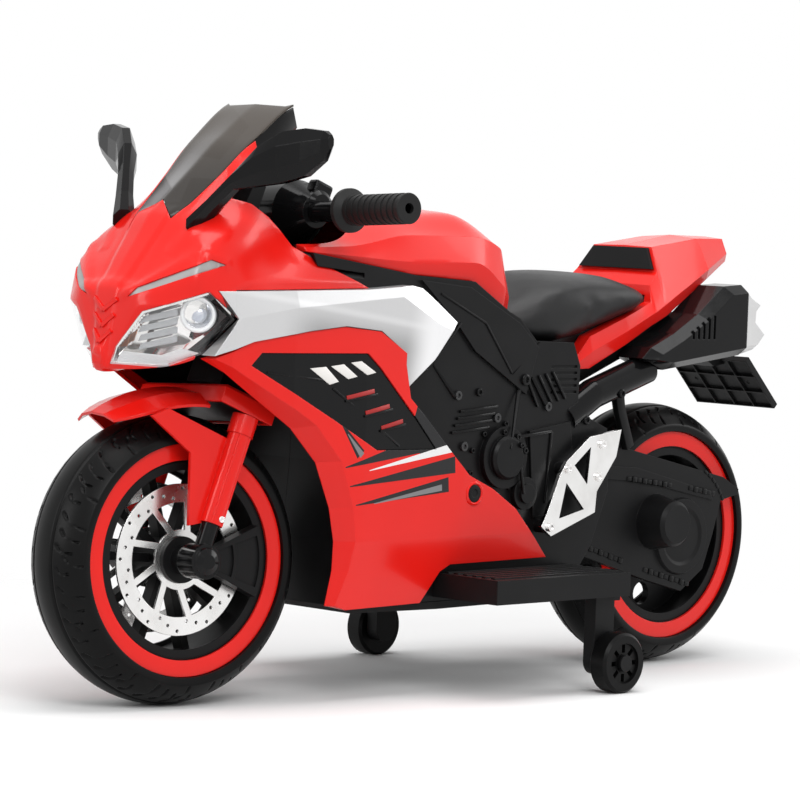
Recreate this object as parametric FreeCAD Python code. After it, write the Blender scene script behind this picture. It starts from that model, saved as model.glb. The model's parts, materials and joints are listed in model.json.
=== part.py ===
"""Kids electric motorbike: a sport-bike style ride-on toy with training wheels.

X points forward, Y to the rider's left and Z up, in millimetres. The origin is on the ground,
under the middle of the whole length. The handlebar stands turned by STEER_REST.
"""
import FreeCAD
import Part
import math
import os

# Driving sizes of the whole bike
BODY_LENGTH = 1000.0
BODY_WIDTH = 250.0
BODY_HEIGHT = 500.0
WHEELBASE = 740.0
TYRE_DIAMETER = 300.0
TYRE_WIDTH = 92.0

# Clearances, walls and the overrun of cuts
PANEL_GAP = 0.6
SEAT_GAP = 0.3
RUN_GAP = 0.06
FIT_GAP = 0.1
SWING_GAP = 7.0
PANEL_WALL = 3.0
FRAME_WALL = 3.5
OVERRUN = 40.0

# Steering head: angles in degrees, heights along the steering axis from the front axle
RAKE = 22.5
STEER_REST = -7.5
STEER_LIMIT = 20.0
LEG_LEAN = 0.8
CROWN_LOW = 160.0
CROWN_THICK = 18.0
CROWN_REAR = 20.0
CROWN_FRONT = 42.0
NECK_CLEAR = 8.0
NECK_LENGTH = 148.0
NECK_RADIUS = 26.0
STEM_RADIUS = 11.0
BAR_RISE = 388.0

# Fork legs, their covers and the mock brake calipers
LEG_Y = 63.0
LEG_RADIUS = 9.5
AXLE_BLOCK_RADIUS = 18.0
AXLE_BLOCK_WIDTH = 27.0
AXLE_CAP_RADIUS = 15.0
AXLE_CAP_DEPTH = 5.0
CAP_ROUND_SHARE = 0.9
AXLE_RADIUS = 5.0
COVER_LOW = 40.0
COVER_JOINT = 137.0
COVER_HIGH = 157.5
COVER_WALL = 2.2
COVER_SHOULDER_WALL = 4.0
COVER_RIDGE = 1.2
COVER_RIDGE_ANGLE = 32.0
WING_INNER_Y = 56.0
WING_THICK = 4.0
WING_REACH = 107.0
WING_HEIGHT = 132.0
CAP_WALL = 3.0
CAP_DROP = 20.0
CAP_CHAMFER = 7.0
CALIPER_INNER_Y = 35.0
CALIPER_THICK = 14.2
CALIPER_INNER_RADIUS = 16.5
CALIPER_OUTER_RADIUS = 91.0
CALIPER_START = 176.0
CALIPER_SWEEP = 48.0
CALIPER_RIB = 2.4

# Front fender, as angles forward from the steering axis
FENDER_RADIUS = 177.0
FENDER_WALL = 3.0
FENDER_WIDTH = 111.0
FENDER_DROP = 17.0
FENDER_START = 13.0
FENDER_END = 53.0
FENDER_NARROW_SHARE = 0.42
FENDER_EDGE_SHARES = (0.6, 0.3)
FENDER_STEPS = 8

# Handlebar, its cover and the grips
BAR_RADIUS = 11.0
BAR_WALL = 2.0
BAR_HALF_LENGTH = 214.0
GRIP_RADIUS = 16.0
GRIP_LENGTH = 102.0
GRIP_FLANGE_RADIUS = 23.0
GRIP_FLANGE_WIDTH = 5.0
GRIP_CAP = 5.0
GRIP_RIB = 0.9
GRIP_RIB_COUNT = 9
HUB_COVER_RADIUS = 34.0
HUB_COVER_HALF_LENGTH = 62.0
HUB_COVER_END_RADIUS = 17.0
HUB_COVER_SKIRT_RADIUS = 24.0
HORN_RADIUS = 8.0
HORN_LENGTH = 12.0
HORN_PROUD = 4.0
HORN_TRAVEL = 2.0
HORN_Y = 44.0
HORN_TILT = 40.0

# Wheels
TYRE_BEAD_RADIUS = 101.0
TYRE_WALL = 5.0
TYRE_SHOULDER_RADIUS = 128.0
RING_INNER_RADIUS = 102.5
RING_OUTER_RADIUS = 119.5
RING_SEAT_Y = 38.0
RING_THICK = 3.0
RIM_WALL = 5.0
RIM_LIP = 9.0
RIM_LIP_WIDTH = 3.0
HUB_RADIUS = 24.0
HUB_HALF_LENGTH = 34.0
HUB_NOSE_RADIUS = 15.0
HUB_NOSE_LENGTH = 13.0
SPOKE_COUNT = 10
SPOKE_WIDTH = 9.0
SPOKE_THICK = 16.0
DISC_OUTER_RADIUS = 78.0
DISC_BAND = 19.0
DISC_THICK = 2.5
DISC_Y = 27.0
DISC_ARM_COUNT = 9
DISC_ARM_WIDTH = 7.0
DISC_ARM_SKEW = 24.0
DISC_HOLE_RADIUS = 1.8
DISC_HOLE_COUNT = 36
REAR_HUB_HALF_LENGTH = 8.0
REAR_WEB_THICK = 8.0
REAR_WINDOW_COUNT = 8
REAR_WINDOW_RADIUS = 13.0
REAR_WINDOW_PITCH_RADIUS = 72.0

# Rear drive: spur gears, gearbox housing and motor
GEAR_MODULE = 1.5
GEAR_TEETH = 52
PINION_TEETH = 12
GEAR_WIDTH = 8.0
GEAR_SLACK = 0.5
MOTOR_ANGLE = 22.0
GEARBOX_INNER_Y = 13.0
GEARBOX_WALL = 3.0
GEARBOX_DEPTH = 18.0
GEARBOX_MARGIN = 5.0
MOTOR_RADIUS = 22.0
MOTOR_LENGTH = 52.0
MOTOR_SHAFT_RADIUS = 2.5

# Swingarms and rear axle
ARM_INNER_Y = 49.5
ARM_THICK = 11.0
ARM_RELIEF = 4.0
SPROCKET_RADIUS = 47.0
SPROCKET_STEP_RADIUS = 34.0
MOTOR_CAP_BASE_RADIUS = 33.0
MOTOR_CAP_RADIUS = 26.0
MOTOR_CAP_LENGTH = 35.0
REAR_AXLE_OVERHANG = 5.0

# Frame shells, engine covers and what is bolted to them
FRAME_HALF_WIDTH = 94.0
BOOM_HALF_WIDTH = 59.5
ENGINE_RELIEF = 14.0
CLUTCH_RADIUS = 34.0
CLUTCH_STEP_RADIUS = 24.0
PIVOT_RADIUS = 18.0
PIVOT_STEP_RADIUS = 11.0
SPAR_RELIEF = 4.0
FIN_COUNT = 5
FIN_PITCH = 7.0
FIN_DEPTH = 2.0
FIN_WIDTH = 3.0
FOOTREST_THICK = 5.0
FOOTREST_POST_RADIUS = 7.0
BOLT_RADIUS = 5.0
BOLT_HEIGHT = 3.0
BOLT_SOCKET_RADIUS = 2.4

# Footboards, pedal and training wheels
FOOTBOARD_OUTER_Y = 190.0
FOOTBOARD_FRONT = 69.0
FOOTBOARD_REAR = -141.0
FOOTBOARD_LOW = 105.0
FOOTBOARD_THICK = 26.0
FOOTBOARD_RIB = 1.5
FOOTBOARD_RIB_WIDTH = 6.0
FOOTBOARD_RIB_COUNT = 6
PEDAL_LENGTH = 84.0
PEDAL_WIDTH = 58.0
PEDAL_THICK = 6.0
PEDAL_REST = 8.0
PEDAL_HINGE_X = -62.0
PEDAL_HINGE_DROP = 5.0
PEDAL_HINGE_RADIUS = 4.0
PEDAL_PIN_RADIUS = 2.5
PEDAL_PIN_OVERHANG = 6.0
PEDAL_GAP = 1.0
PEDAL_WELL_DEPTH = 15.0
TRAINER_RADIUS = 33.0
TRAINER_WIDTH = 24.0
TRAINER_X = -125.0
TRAINER_OUTER_Y = 201.0
TRAINER_PIN_RADIUS = 5.0
TRAINER_HUB_RADIUS = 10.0
TRAINER_RIM_RADIUS = 22.0
TRAINER_RECESS = 3.0
TRAINER_SPOKE_COUNT = 8
TRAINER_SPOKE_WIDTH = 5.0
TRAINER_SIDE_GAP = 1.0
TRAINER_BRACKET_THICK = 16.0
TRAINER_BRACKET_WIDTH = 30.0
TRAINER_BRACKET_LEAD = 8.0
TRAINER_FLANGE_THICK = 6.0
TRAINER_HEAD_RADIUS = 9.0
TRAINER_HEAD_THICK = 3.0

# Battery inside the frame
BATTERY_LENGTH = 98.0
BATTERY_WIDTH = 130.0
BATTERY_HEIGHT = 64.0
BATTERY_X = 20.0

# Lamps, dash and its buttons
HEADLIGHT_YAW = 45.0
HEADLIGHT_DEPTH = 26.0
HEADLIGHT_WALL = 2.5
LENS_WALL = 2.0
LAMP_RADIUS = 17.0
LAMP_SET_BACK = 7.0
STRIP_DEPTH = 1.6
DASH_HALF_WIDTH = 50.0
DASH_FACE = 74.0
POWER_RADIUS = 9.0
POWER_LENGTH = 12.0
POWER_PROUD = 4.0
POWER_TRAVEL = 2.0
POWER_Y = 24.0
SWITCH_LENGTH = 22.0
SWITCH_WIDTH = 12.0
SWITCH_PROUD = 4.0
SWITCH_DEPTH = 8.0
SWITCH_TILT = 8.0
SWITCH_PIN_RADIUS = 1.5
SWITCH_PIN_OVERHANG = 3.0
BUTTON_GAP = 0.4

# Screen, tail pad, exhausts and plate holder
SCREEN_SLOPE = 33.0
SCREEN_LENGTH = 178.0
SCREEN_WALL = 2.5
TAIL_WALL = 3.0
PAD_THICK = 4.0
EXHAUST_INNER_Y = 60.5
EXHAUST_OUTER_Y = 112.0
EXHAUST_CHAMFER = 12.0
EXHAUST_SLOT_COUNT = 5
EXHAUST_SLOT_DEPTH = 3.0
EXHAUST_SLOT_WIDTH = 4.0
EXHAUST_SLOT_PITCH = 9.0
TIP_WALL = 4.0
PIPE_RADIUS = 17.0
PIPE_Y = 82.0
PLATE_HALF_WIDTH = 60.0
PLATE_RIB_COUNT = 4
PLATE_RIB_THICK = 1.6
PLATE_RIB_HEIGHT = 3.0
PLATE_HOLE_RADIUS = 2.5
PLATE_HOLE_PITCH = 80.0
PLATE_ARM_HALF_WIDTH = 20.0
BELLY_HALF_WIDTH = 93.0

# Side-view outlines as shares of body length and height
FRAME_FRONT_SHARES = [(0.200, 0.200), (0.203, 0.340), (0.196, 0.500), (0.196, 0.640), (0.215, 0.760)]
TANK_SEAM_SHARES = [(0.262, 0.940), (0.200, 0.922), (0.110, 0.896), (0.020, 0.884),
                    (-0.035, 0.820), (-0.052, 0.806)]
SEAT_SEAM_SHARES = [(-0.080, 0.756), (-0.140, 0.752)]
BOOM_SEAM_SHARES = [(-0.200, 0.782), (-0.262, 0.822), (-0.288, 0.842)]
FRAME_REAR_SHARES = [(-0.152, 0.700), (-0.150, 0.600), (-0.200, 0.560), (-0.205, 0.420),
                     (-0.180, 0.300), (-0.141, 0.200)]
BOOM_END_SHARES = [(-0.335, 0.850), (-0.335, 0.800), (-0.262, 0.716), (-0.190, 0.660), (-0.150, 0.600),
                   (-0.100, 0.600)]
SPAR_SHARES = [(0.105, 0.886), (0.030, 0.872), (-0.048, 0.796), (-0.080, 0.742), (-0.062, 0.640),
               (0.020, 0.735), (0.052, 0.800)]
COVER_PLATE_SHARES = [(-0.070, 0.560), (-0.135, 0.578), (-0.143, 0.470), (-0.120, 0.380),
                      (-0.080, 0.370)]
SIDE_PANEL_SHARES = [(0.402, 0.728), (0.378, 0.804), (0.398, 0.860), (0.198, 0.867), (0.132, 0.876),
                     (0.116, 0.870), (0.060, 0.798), (0.095, 0.718), (0.137, 0.654), (0.142, 0.710),
                     (0.141, 0.734), (0.179, 0.780), (0.231, 0.790), (0.282, 0.780), (0.356, 0.758)]
FAIRING_FRONT_SHARES = [(0.402, 0.722), (0.353, 0.660), (0.287, 0.578), (0.250, 0.506), (0.228, 0.410),
                        (0.220, 0.340), (0.221, 0.280), (0.230, 0.206)]
FAIRING_BEVEL_SHARES = [(0.386, 0.730), (0.332, 0.668), (0.266, 0.588), (0.228, 0.512), (0.206, 0.414),
                        (0.198, 0.342), (0.199, 0.280), (0.207, 0.206)]
FAIRING_REST_SHARES = [(0.206, 0.196), (0.096, 0.200), (0.072, 0.266), (0.058, 0.280), (-0.098, 0.282),
                       (-0.075, 0.328), (-0.040, 0.394), (0.000, 0.440), (0.040, 0.472), (0.066, 0.516),
                       (0.136, 0.640), (0.142, 0.710), (0.141, 0.734), (0.179, 0.780), (0.231, 0.790),
                       (0.282, 0.780), (0.356, 0.758)]
VENT_SHARES = [(0.356, 0.710), (0.343, 0.736), (0.198, 0.734), (0.180, 0.704), (0.138, 0.618),
               (0.094, 0.530), (0.183, 0.532), (0.245, 0.596)]
SWINGARM_SHARES = [(-0.2055, 0.530), (-0.262, 0.512), (-0.302, 0.494), (-0.444, 0.432), (-0.472, 0.402),
                   (-0.470, 0.390), (-0.440, 0.378), (-0.428, 0.300), (-0.412, 0.220), (-0.375, 0.172),
                   (-0.316, 0.202), (-0.200, 0.270), (-0.2055, 0.420)]
CHAIN_SHARES = [(-0.230, 0.470), (-0.290, 0.462), (-0.420, 0.400), (-0.424, 0.380), (-0.300, 0.430),
                (-0.230, 0.440)]
FOOTREST_SHARES = [(-0.203, 0.560), (-0.196, 0.500), (-0.166, 0.424), (-0.164, 0.378), (-0.094, 0.330),
                   (-0.078, 0.352), (-0.086, 0.378), (-0.106, 0.466), (-0.116, 0.494), (-0.152, 0.546)]
FOOTREST_WINDOW_SHARES = [[(-0.128, 0.484), (-0.154, 0.524), (-0.150, 0.440)],
                          [(-0.116, 0.446), (-0.146, 0.386), (-0.106, 0.368)]]
FOOTREST_POST_SHARES = [(-0.118, 0.476), (-0.092, 0.350)]
FOOTREST_BOLT_SHARES = [(-0.118, 0.476), (-0.092, 0.350), (-0.172, 0.528), (-0.168, 0.456)]
EXHAUST_SHARES = [(-0.248, 0.716), (-0.262, 0.740), (-0.300, 0.772), (-0.340, 0.816), (-0.383, 0.880),
                  (-0.414, 0.884), (-0.414, 0.722), (-0.283, 0.690)]
EXHAUST_FACE_SHARES = [(-0.262, 0.714), (-0.270, 0.726), (-0.306, 0.758), (-0.347, 0.802),
                       (-0.388, 0.862), (-0.414, 0.866), (-0.414, 0.740), (-0.288, 0.708)]
EXHAUST_SLOT_SHARES = (-0.345, 0.760)
TIP_SHARES = [(-0.4145, 0.882), (-0.423, 0.868), (-0.443, 0.844), (-0.435, 0.828), (-0.434, 0.796),
              (-0.453, 0.768), (-0.438, 0.734), (-0.4145, 0.724)]
TIP_FACE_SHARES = [(-0.4145, 0.864), (-0.421, 0.852), (-0.436, 0.838), (-0.429, 0.824), (-0.428, 0.798),
                   (-0.445, 0.770), (-0.434, 0.748), (-0.4145, 0.742)]
PIPE_SHARES = [(-0.140, 0.584), (-0.186, 0.636), (-0.275, 0.692)]
PLATE_SHARES = [(-0.478, 0.706), (-0.534, 0.594), (-0.537, 0.600), (-0.481, 0.712)]
PLATE_ARM_SHARES = [(-0.3354, 0.845), (-0.400, 0.806), (-0.468, 0.722), (-0.479, 0.712),
                    (-0.486, 0.692),
                    (-0.466, 0.686), (-0.392, 0.770), (-0.3354, 0.803)]
BELLY_SHARES = [(0.196, 0.199), (0.190, 0.186), (0.060, 0.182), (-0.120, 0.186), (-0.138, 0.199)]
PAD_SHARES = [(-0.3116, 0.224, 0.914), (-0.3184, 0.164, 0.962)]
COCKPIT_SHARES = [(0.362, 1.040), (0.346, 1.062), (0.318, 1.118), (0.302, 1.160), (0.296, 1.320),
                  (0.150, 1.320), (0.150, 0.830), (0.189, 0.870), (0.284, 0.952), (0.297, 0.984),
                  (0.310, 1.010), (0.330, 1.036), (0.350, 1.046)]
NOSE_SEAM_SHARES = [(0.400, 0.861), (0.150, 0.869), (0.150, 0.600), (0.400, 0.600)]
CLUTCH_SHARES = (-0.030, 0.504)
PIVOT_SHARES = (-0.064, 0.424)
FRAME_BOLT_SHARES = [(0.042, 0.640), (-0.020, 0.590), (-0.100, 0.612), (0.030, 0.530)]

# Outline in a view turned by HEADLIGHT_YAW: across as shares of body length, up of body height
HEADLIGHT_SHARES = [(0.286, 0.814), (0.313, 0.740), (0.318, 0.704), (0.263, 0.700), (0.225, 0.730),
                    (0.190, 0.804), (0.2185, 0.858)]
LAMP_SHARES = (0.2265, 0.810)
STRIP_SHARES = [(0.302, 0.841), (0.292, 0.862), (0.218, 0.922), (0.203, 0.912), (0.241, 0.886)]
# Screen outline along its slope, as shares of its length, and across, as shares of body width
SCREEN_SHARES = [(0.00, 0.000), (-0.12, 0.112), (0.02, 0.136), (0.36, 0.170), (0.60, 0.190),
                 (0.93, 0.198), (0.90, 0.170), (0.895, 0.000)]
# Where the notch of the screen lies on the cowl's top, as shares of length and height
NOTCH_SHARES = (0.3856, 1.0362)
# How far the chin reaches back of the nose seam, and how far a seam's floor runs past its ends and down
CHIN_SHARE = 0.022
SEAM_END_SHARE = 0.01
SEAM_LOW_SHARE = 0.5
# Shares within one piece: disc holes in their band, gear teeth, grip ribs, mirror faces and plate ribs
DISC_HOLE_SHARES = (0.25, 0.5, 0.75)
GEAR_ROOT_SHARE = 1.2
GEAR_TIP_SHARE = 0.75
GEAR_FLANK_SHARES = (-0.28, -0.10, 0.10, 0.28)
GEAR_BOSS_SHARE = 0.667
GRIP_RIB_SHARE = 0.6
MIRROR_TURN = 22.5
MIRROR_FACE_SHARE = 0.9
PLATE_RIB_SHARES = [0.0, 0.33, 0.66]
# Fork wing from the fender's edge down to its tip, as shares of its reach and height
WING_SHARES = [(0.060, 0.300), (0.215, 0.228), (0.450, 0.756), (1.000, 0.890), (0.840, 1.000),
               (0.060, 0.980)]

# Half sections of the cowl: a length share, then width and height shares from keel to top
COWL_SHARES = [
    (0.464, [(0, 0.692), (0.044, 0.694), (0.050, 0.705), (0.048, 0.720), (0.040, 0.735),
             (0.028, 0.745), (0, 0.748)]),
    (0.456, [(0, 0.690), (0.060, 0.694), (0.130, 0.740), (0.200, 0.826), (0.180, 0.846),
             (0.110, 0.856), (0, 0.858)]),
    (0.445, [(0, 0.692), (0.110, 0.695), (0.200, 0.738), (0.290, 0.828), (0.250, 0.866),
             (0.118, 0.878), (0, 0.884)]),
    (0.432, [(0, 0.696), (0.170, 0.699), (0.262, 0.740), (0.350, 0.828), (0.320, 0.884),
             (0.120, 0.914), (0, 0.922)]),
    (0.418, [(0, 0.700), (0.230, 0.705), (0.308, 0.746), (0.392, 0.830), (0.368, 0.904),
             (0.122, 0.952), (0, 0.962)]),
    (0.400, [(0, 0.708), (0.306, 0.724), (0.364, 0.774), (0.414, 0.844), (0.350, 0.946),
             (0.130, 1.000), (0, 1.014)]),
    (0.380, [(0, 0.760), (0.368, 0.780), (0.410, 0.808), (0.420, 0.862), (0.352, 0.966),
             (0.146, 1.032), (0, 1.050)]),
    (0.350, [(0, 0.840), (0.416, 0.844), (0.424, 0.852), (0.416, 0.876), (0.344, 0.982),
             (0.166, 1.086), (0, 1.102)]),
    (0.310, [(0, 0.842), (0.416, 0.846), (0.420, 0.854), (0.412, 0.878), (0.322, 0.988),
             (0.186, 1.162), (0, 1.172)]),
    (0.240, [(0, 0.844), (0.412, 0.848), (0.416, 0.856), (0.408, 0.880), (0.312, 0.960),
             (0.204, 1.250), (0, 1.256)]),
    (0.187, [(0, 0.846), (0.404, 0.850), (0.408, 0.858), (0.400, 0.880), (0.300, 0.950),
             (0.204, 1.244), (0, 1.250)])]
# Half sections of the tank cover and of the tail fairing, in the same form
TANK_SHARES = [
    (0.262, [(0, 0.926), (0.330, 0.926), (0.336, 0.942), (0.320, 0.950), (0.240, 0.956), (0, 0.956)]),
    (0.200, [(0, 0.904), (0.344, 0.904), (0.360, 0.934), (0.334, 0.954), (0.160, 0.984), (0, 0.990)]),
    (0.110, [(0, 0.876), (0.352, 0.876), (0.372, 0.924), (0.340, 0.980), (0.160, 1.016), (0, 1.022)]),
    (0.020, [(0, 0.864), (0.344, 0.864), (0.372, 0.924), (0.336, 0.980), (0.168, 1.028), (0, 1.034)]),
    (-0.035, [(0, 0.800), (0.312, 0.800), (0.344, 0.870), (0.304, 0.956), (0.152, 0.988), (0, 0.994)]),
    (-0.052, [(0, 0.784), (0.284, 0.784), (0.304, 0.850), (0.264, 0.920), (0.130, 0.946), (0, 0.950)])]
TAIL_SHARES = [
    (-0.158, [(0, 0.688), (0.304, 0.690), (0.312, 0.696), (0.300, 0.702), (0, 0.702)]),
    (-0.185, [(0, 0.690), (0.308, 0.692), (0.324, 0.730), (0.308, 0.764), (0, 0.764)]),
    (-0.246, [(0, 0.744), (0.308, 0.746), (0.322, 0.778), (0.300, 0.806), (0, 0.806)]),
    (-0.291, [(0, 0.786), (0.297, 0.788), (0.312, 0.816), (0.286, 0.840), (0, 0.840)]),
    (-0.295, [(0, 0.789), (0.297, 0.791), (0.311, 0.819), (0.262, 0.878), (0, 0.880)]),
    (-0.311, [(0, 0.802), (0.292, 0.804), (0.304, 0.834), (0.246, 0.908), (0, 0.910)]),
    (-0.319, [(0, 0.808), (0.288, 0.810), (0.300, 0.842), (0.178, 0.964), (0, 0.966)]),
    (-0.400, [(0, 0.890), (0.234, 0.892), (0.250, 0.916), (0.170, 0.986), (0, 0.992)]),
    (-0.464, [(0, 0.932), (0.128, 0.934), (0.136, 0.952), (0.104, 0.986), (0, 0.990)])]
# Seat sections: length share, width share, then height shares of underside, edge and crown
SEAT_SHARES = [(-0.0535, 0.230, 0.770, 0.836, 0.852), (-0.080, 0.296, 0.740, 0.842, 0.860),
               (-0.140, 0.340, 0.736, 0.866, 0.892), (-0.205, 0.348, 0.760, 0.874, 0.898),
               (-0.262, 0.332, 0.800, 0.868, 0.890), (-0.287, 0.296, 0.822, 0.856, 0.872)]
SEAT_BULGE_SHARE = 0.014
# Side panel sections: length share, inner width share, then height and width shares upwards
SIDE_PANEL_SECTION_SHARES = [
    (0.415, 0.300, [(0.600, 0.376), (0.770, 0.396), (0.900, 0.376)]),
    (0.380, 0.378, [(0.600, 0.424), (0.804, 0.444), (0.900, 0.424)]),
    (0.300, 0.378, [(0.600, 0.440), (0.828, 0.470), (0.900, 0.424)]),
    (0.150, 0.378, [(0.600, 0.436), (0.852, 0.470), (0.900, 0.436)]),
    (0.091, 0.378, [(0.600, 0.424), (0.794, 0.456), (0.900, 0.424)]),
    (0.030, 0.378, [(0.600, 0.404), (0.760, 0.424), (0.900, 0.404)])]
FAIRING_SECTION_SHARES = [
    (0.420, 0.280, [(0.150, 0.340), (0.340, 0.352), (0.600, 0.362), (0.820, 0.366)]),
    (0.380, 0.372, [(0.150, 0.392), (0.340, 0.408), (0.600, 0.420), (0.820, 0.424)]),
    (0.300, 0.378, [(0.150, 0.396), (0.340, 0.436), (0.600, 0.460), (0.820, 0.452)]),
    (0.200, 0.378, [(0.150, 0.396), (0.340, 0.452), (0.600, 0.480), (0.820, 0.452)]),
    (0.050, 0.378, [(0.150, 0.396), (0.340, 0.452), (0.600, 0.476), (0.820, 0.452)]),
    (-0.120, 0.378, [(0.150, 0.390), (0.340, 0.420), (0.600, 0.440), (0.820, 0.440)])]
FAIRING_BEVEL_SHARE = 0.486
VENT_SINK_SHARE = 0.007
# Mirror sections outwards: width share, then shares of length and height, centre and half size
MIRROR_SHARES = [(0.226, 0.390, 0.992, 0.015, 0.022), (0.282, 0.378, 1.036, 0.012, 0.016),
                 (0.342, 0.364, 1.082, 0.011, 0.018), (0.410, 0.348, 1.112, 0.013, 0.040),
                 (0.490, 0.334, 1.132, 0.013, 0.052), (0.590, 0.325, 1.144, 0.012, 0.048),
                 (0.680, 0.322, 1.158, 0.008, 0.030), (0.708, 0.322, 1.166, 0.004, 0.014)]
MIRROR_GLASS_SHARE = 0.0012

# Sizes that follow from the ones above
TYRE_RADIUS = TYRE_DIAMETER / 2
FRONT_REACH = WHEELBASE / 2 + TYRE_RADIUS
REAR_REACH = min(x_share for x_share, z_share in PLATE_SHARES) * BODY_LENGTH
ORIGIN_SHIFT = -(FRONT_REACH + REAR_REACH) / 2
CROWN_TOP = CROWN_LOW + CROWN_THICK
NECK_LOW = CROWN_TOP + NECK_CLEAR
NECK_TOP = NECK_LOW + NECK_LENGTH
COVER_BORE = LEG_RADIUS + SEAT_GAP
COVER_RADIUS = COVER_BORE + COVER_WALL
CAP_OUTER_Y = LEG_Y + LEG_RADIUS + SEAT_GAP + CAP_WALL
GEAR_DISTANCE = GEAR_MODULE * (GEAR_TEETH + PINION_TEETH) / 2 + GEAR_SLACK
FRAME_FACE = FRAME_HALF_WIDTH + SEAT_GAP
FOOTREST_Y = FRAME_HALF_WIDTH + ENGINE_RELIEF
FOOTBOARD_TOP = FOOTBOARD_LOW + FOOTBOARD_THICK
PEDAL_Y = -(FRAME_FACE + FOOTBOARD_OUTER_Y) / 2
PEDAL_HINGE_Z = FOOTBOARD_TOP - PEDAL_HINGE_DROP
TRAINER_INNER_Y = TRAINER_OUTER_Y - TRAINER_WIDTH


def vec(x, y, z):
    return FreeCAD.Vector(x, y, z)


ORIGIN = vec(0, 0, 0)
LEFT = vec(0, 1, 0)
UP = vec(0, 0, 1)


# Geometry helpers

def at(x_share, y_share, z_share):
    """A point of the bodywork from its shares of length, width and height."""
    return vec(x_share * BODY_LENGTH, y_share * BODY_WIDTH, z_share * BODY_HEIGHT)


def ring(points):
    return Part.makePolygon(points + points[:1])


def prism(points, along):
    return Part.Face(ring(points)).extrude(along)


def box(low, high):
    return Part.makeBox(high.x - low.x, high.y - low.y, high.z - low.z, low)


def rod(radius, start, end):
    return Part.makeCylinder(radius, (end - start).Length, start, end - start)


def tube(outer, inner, start, end):
    return rod(outer, start, end).cut(rod(inner, start, end))


def ruled(rings):
    return Part.makeLoft([ring(points) for points in rings], True, True)


def moved(shape, by):
    copy = shape.copy()
    copy.translate(by)
    return copy


def turned(shape, axis, degrees, centre=ORIGIN):
    copy = shape.copy()
    copy.rotate(centre, axis, degrees)
    return copy


def mirrored(shape):
    return shape.mirror(ORIGIN, LEFT)


def both(shape):
    """The left piece and its mirror image, as two solids."""
    return Part.makeCompound([shape, mirrored(shape)])


def largest(shape):
    return max(shape.Solids, key=lambda solid: solid.Volume)


def spun(profile):
    """A ring turned about the Y axis from (y, radius) points."""
    return Part.Face(ring([vec(0, y, radius) for y, radius in profile])).revolve(ORIGIN, LEFT, 360)


def around(shape, count):
    """Copies of a shape spaced evenly about the Y axis, joined."""
    copies = [turned(shape, LEFT, 360 * index / count) for index in range(count)]
    return copies[0].multiFuse(copies[1:])


def inset(points, depth):
    """A closed plane outline drawn in by a depth, with mitred corners."""
    count = len(points)
    pairs = [(points[i], points[(i + 1) % count]) for i in range(count)]
    area = sum(a[0] * b[1] - b[0] * a[1] for a, b in pairs)
    sign = 1 if area > 0 else -1
    normals = []
    for a, b in pairs:
        length = math.hypot(b[0] - a[0], b[1] - a[1])
        normals.append((-sign * (b[1] - a[1]) / length, sign * (b[0] - a[0]) / length))
    result = []
    for i, point in enumerate(points):
        before = normals[i - 1]
        after = normals[i]
        scale = depth / (1 + before[0] * after[0] + before[1] * after[1])
        result.append((point[0] + scale * (before[0] + after[0]),
                       point[1] + scale * (before[1] + after[1])))
    return result


def side_outline(shares, depth=0.0):
    points = [(x_share * BODY_LENGTH, z_share * BODY_HEIGHT) for x_share, z_share in shares]
    return inset(points, depth) if depth else points


def side_prism(shares, y_low, y_high, depth=0.0):
    """A side-view outline, drawn in by a depth, between two widths."""
    points = [vec(x, y_low, z) for x, z in side_outline(shares, depth)]
    return prism(points, vec(0, y_high - y_low, 0))


def whole_ring(half):
    """A full cross section from its left half, keel to top."""
    left = [(y_share * BODY_WIDTH, z_share * BODY_HEIGHT) for y_share, z_share in half]
    return left + [(-y, z) for y, z in reversed(left) if y > 0]


def shell_form(stations, depth=0.0, front=0.0, rear=0.0):
    """A ruled solid through cross sections, each drawn in by a depth."""
    rings = []
    for index, (x_share, half) in enumerate(stations):
        x = x_share * BODY_LENGTH
        if index == 0:
            x += front
        if index == len(stations) - 1:
            x += rear
        rings.append([vec(x, y, z) for y, z in inset(whole_ring(half), depth)])
    return ruled(rings)


def panel_form(stations, depth=0.0, inward=0.0):
    """A ruled solid from an inner plane out to a curved side surface, lowered by a depth."""
    rings = []
    for x_share, inner_share, section in stations:
        x = x_share * BODY_LENGTH
        inner = inner_share * BODY_WIDTH - inward
        outer = [vec(x, y_share * BODY_WIDTH - depth, z_share * BODY_HEIGHT)
                 for z_share, y_share in section]
        rings.append([vec(x, inner, outer[0].z)] + outer + [vec(x, inner, outer[-1].z)])
    return ruled(rings)


# Places of the wheels and of the steering head

def head_point(x, y, z):
    """A point given along the steering head: forward of its axis, left, and up it from the axle."""
    lean = math.radians(RAKE)
    return vec(WHEELBASE / 2 + x * math.cos(lean) - z * math.sin(lean), y,
               TYRE_RADIUS + x * math.sin(lean) + z * math.cos(lean))


def on_head(shape):
    """A shape drawn about the steering axis, set on the head without turning the bar."""
    return moved(turned(shape, LEFT, -RAKE), head_point(0, 0, 0))


def steered(shape):
    """A shape of the steering, set on the head and turned to where the bar stands."""
    return on_head(turned(shape, UP, STEER_REST))


def on_leg(shape):
    """A shape drawn along a fork leg, leaned forward of the steering axis."""
    return steered(turned(shape, LEFT, LEG_LEAN))


def rear_axle_point():
    return vec(-WHEELBASE / 2, 0, TYRE_RADIUS)


def at_rear(shape):
    return moved(shape, rear_axle_point())


def motor_offset():
    angle = math.radians(MOTOR_ANGLE)
    return vec(GEAR_DISTANCE * math.cos(angle), 0, GEAR_DISTANCE * math.sin(angle))


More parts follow.
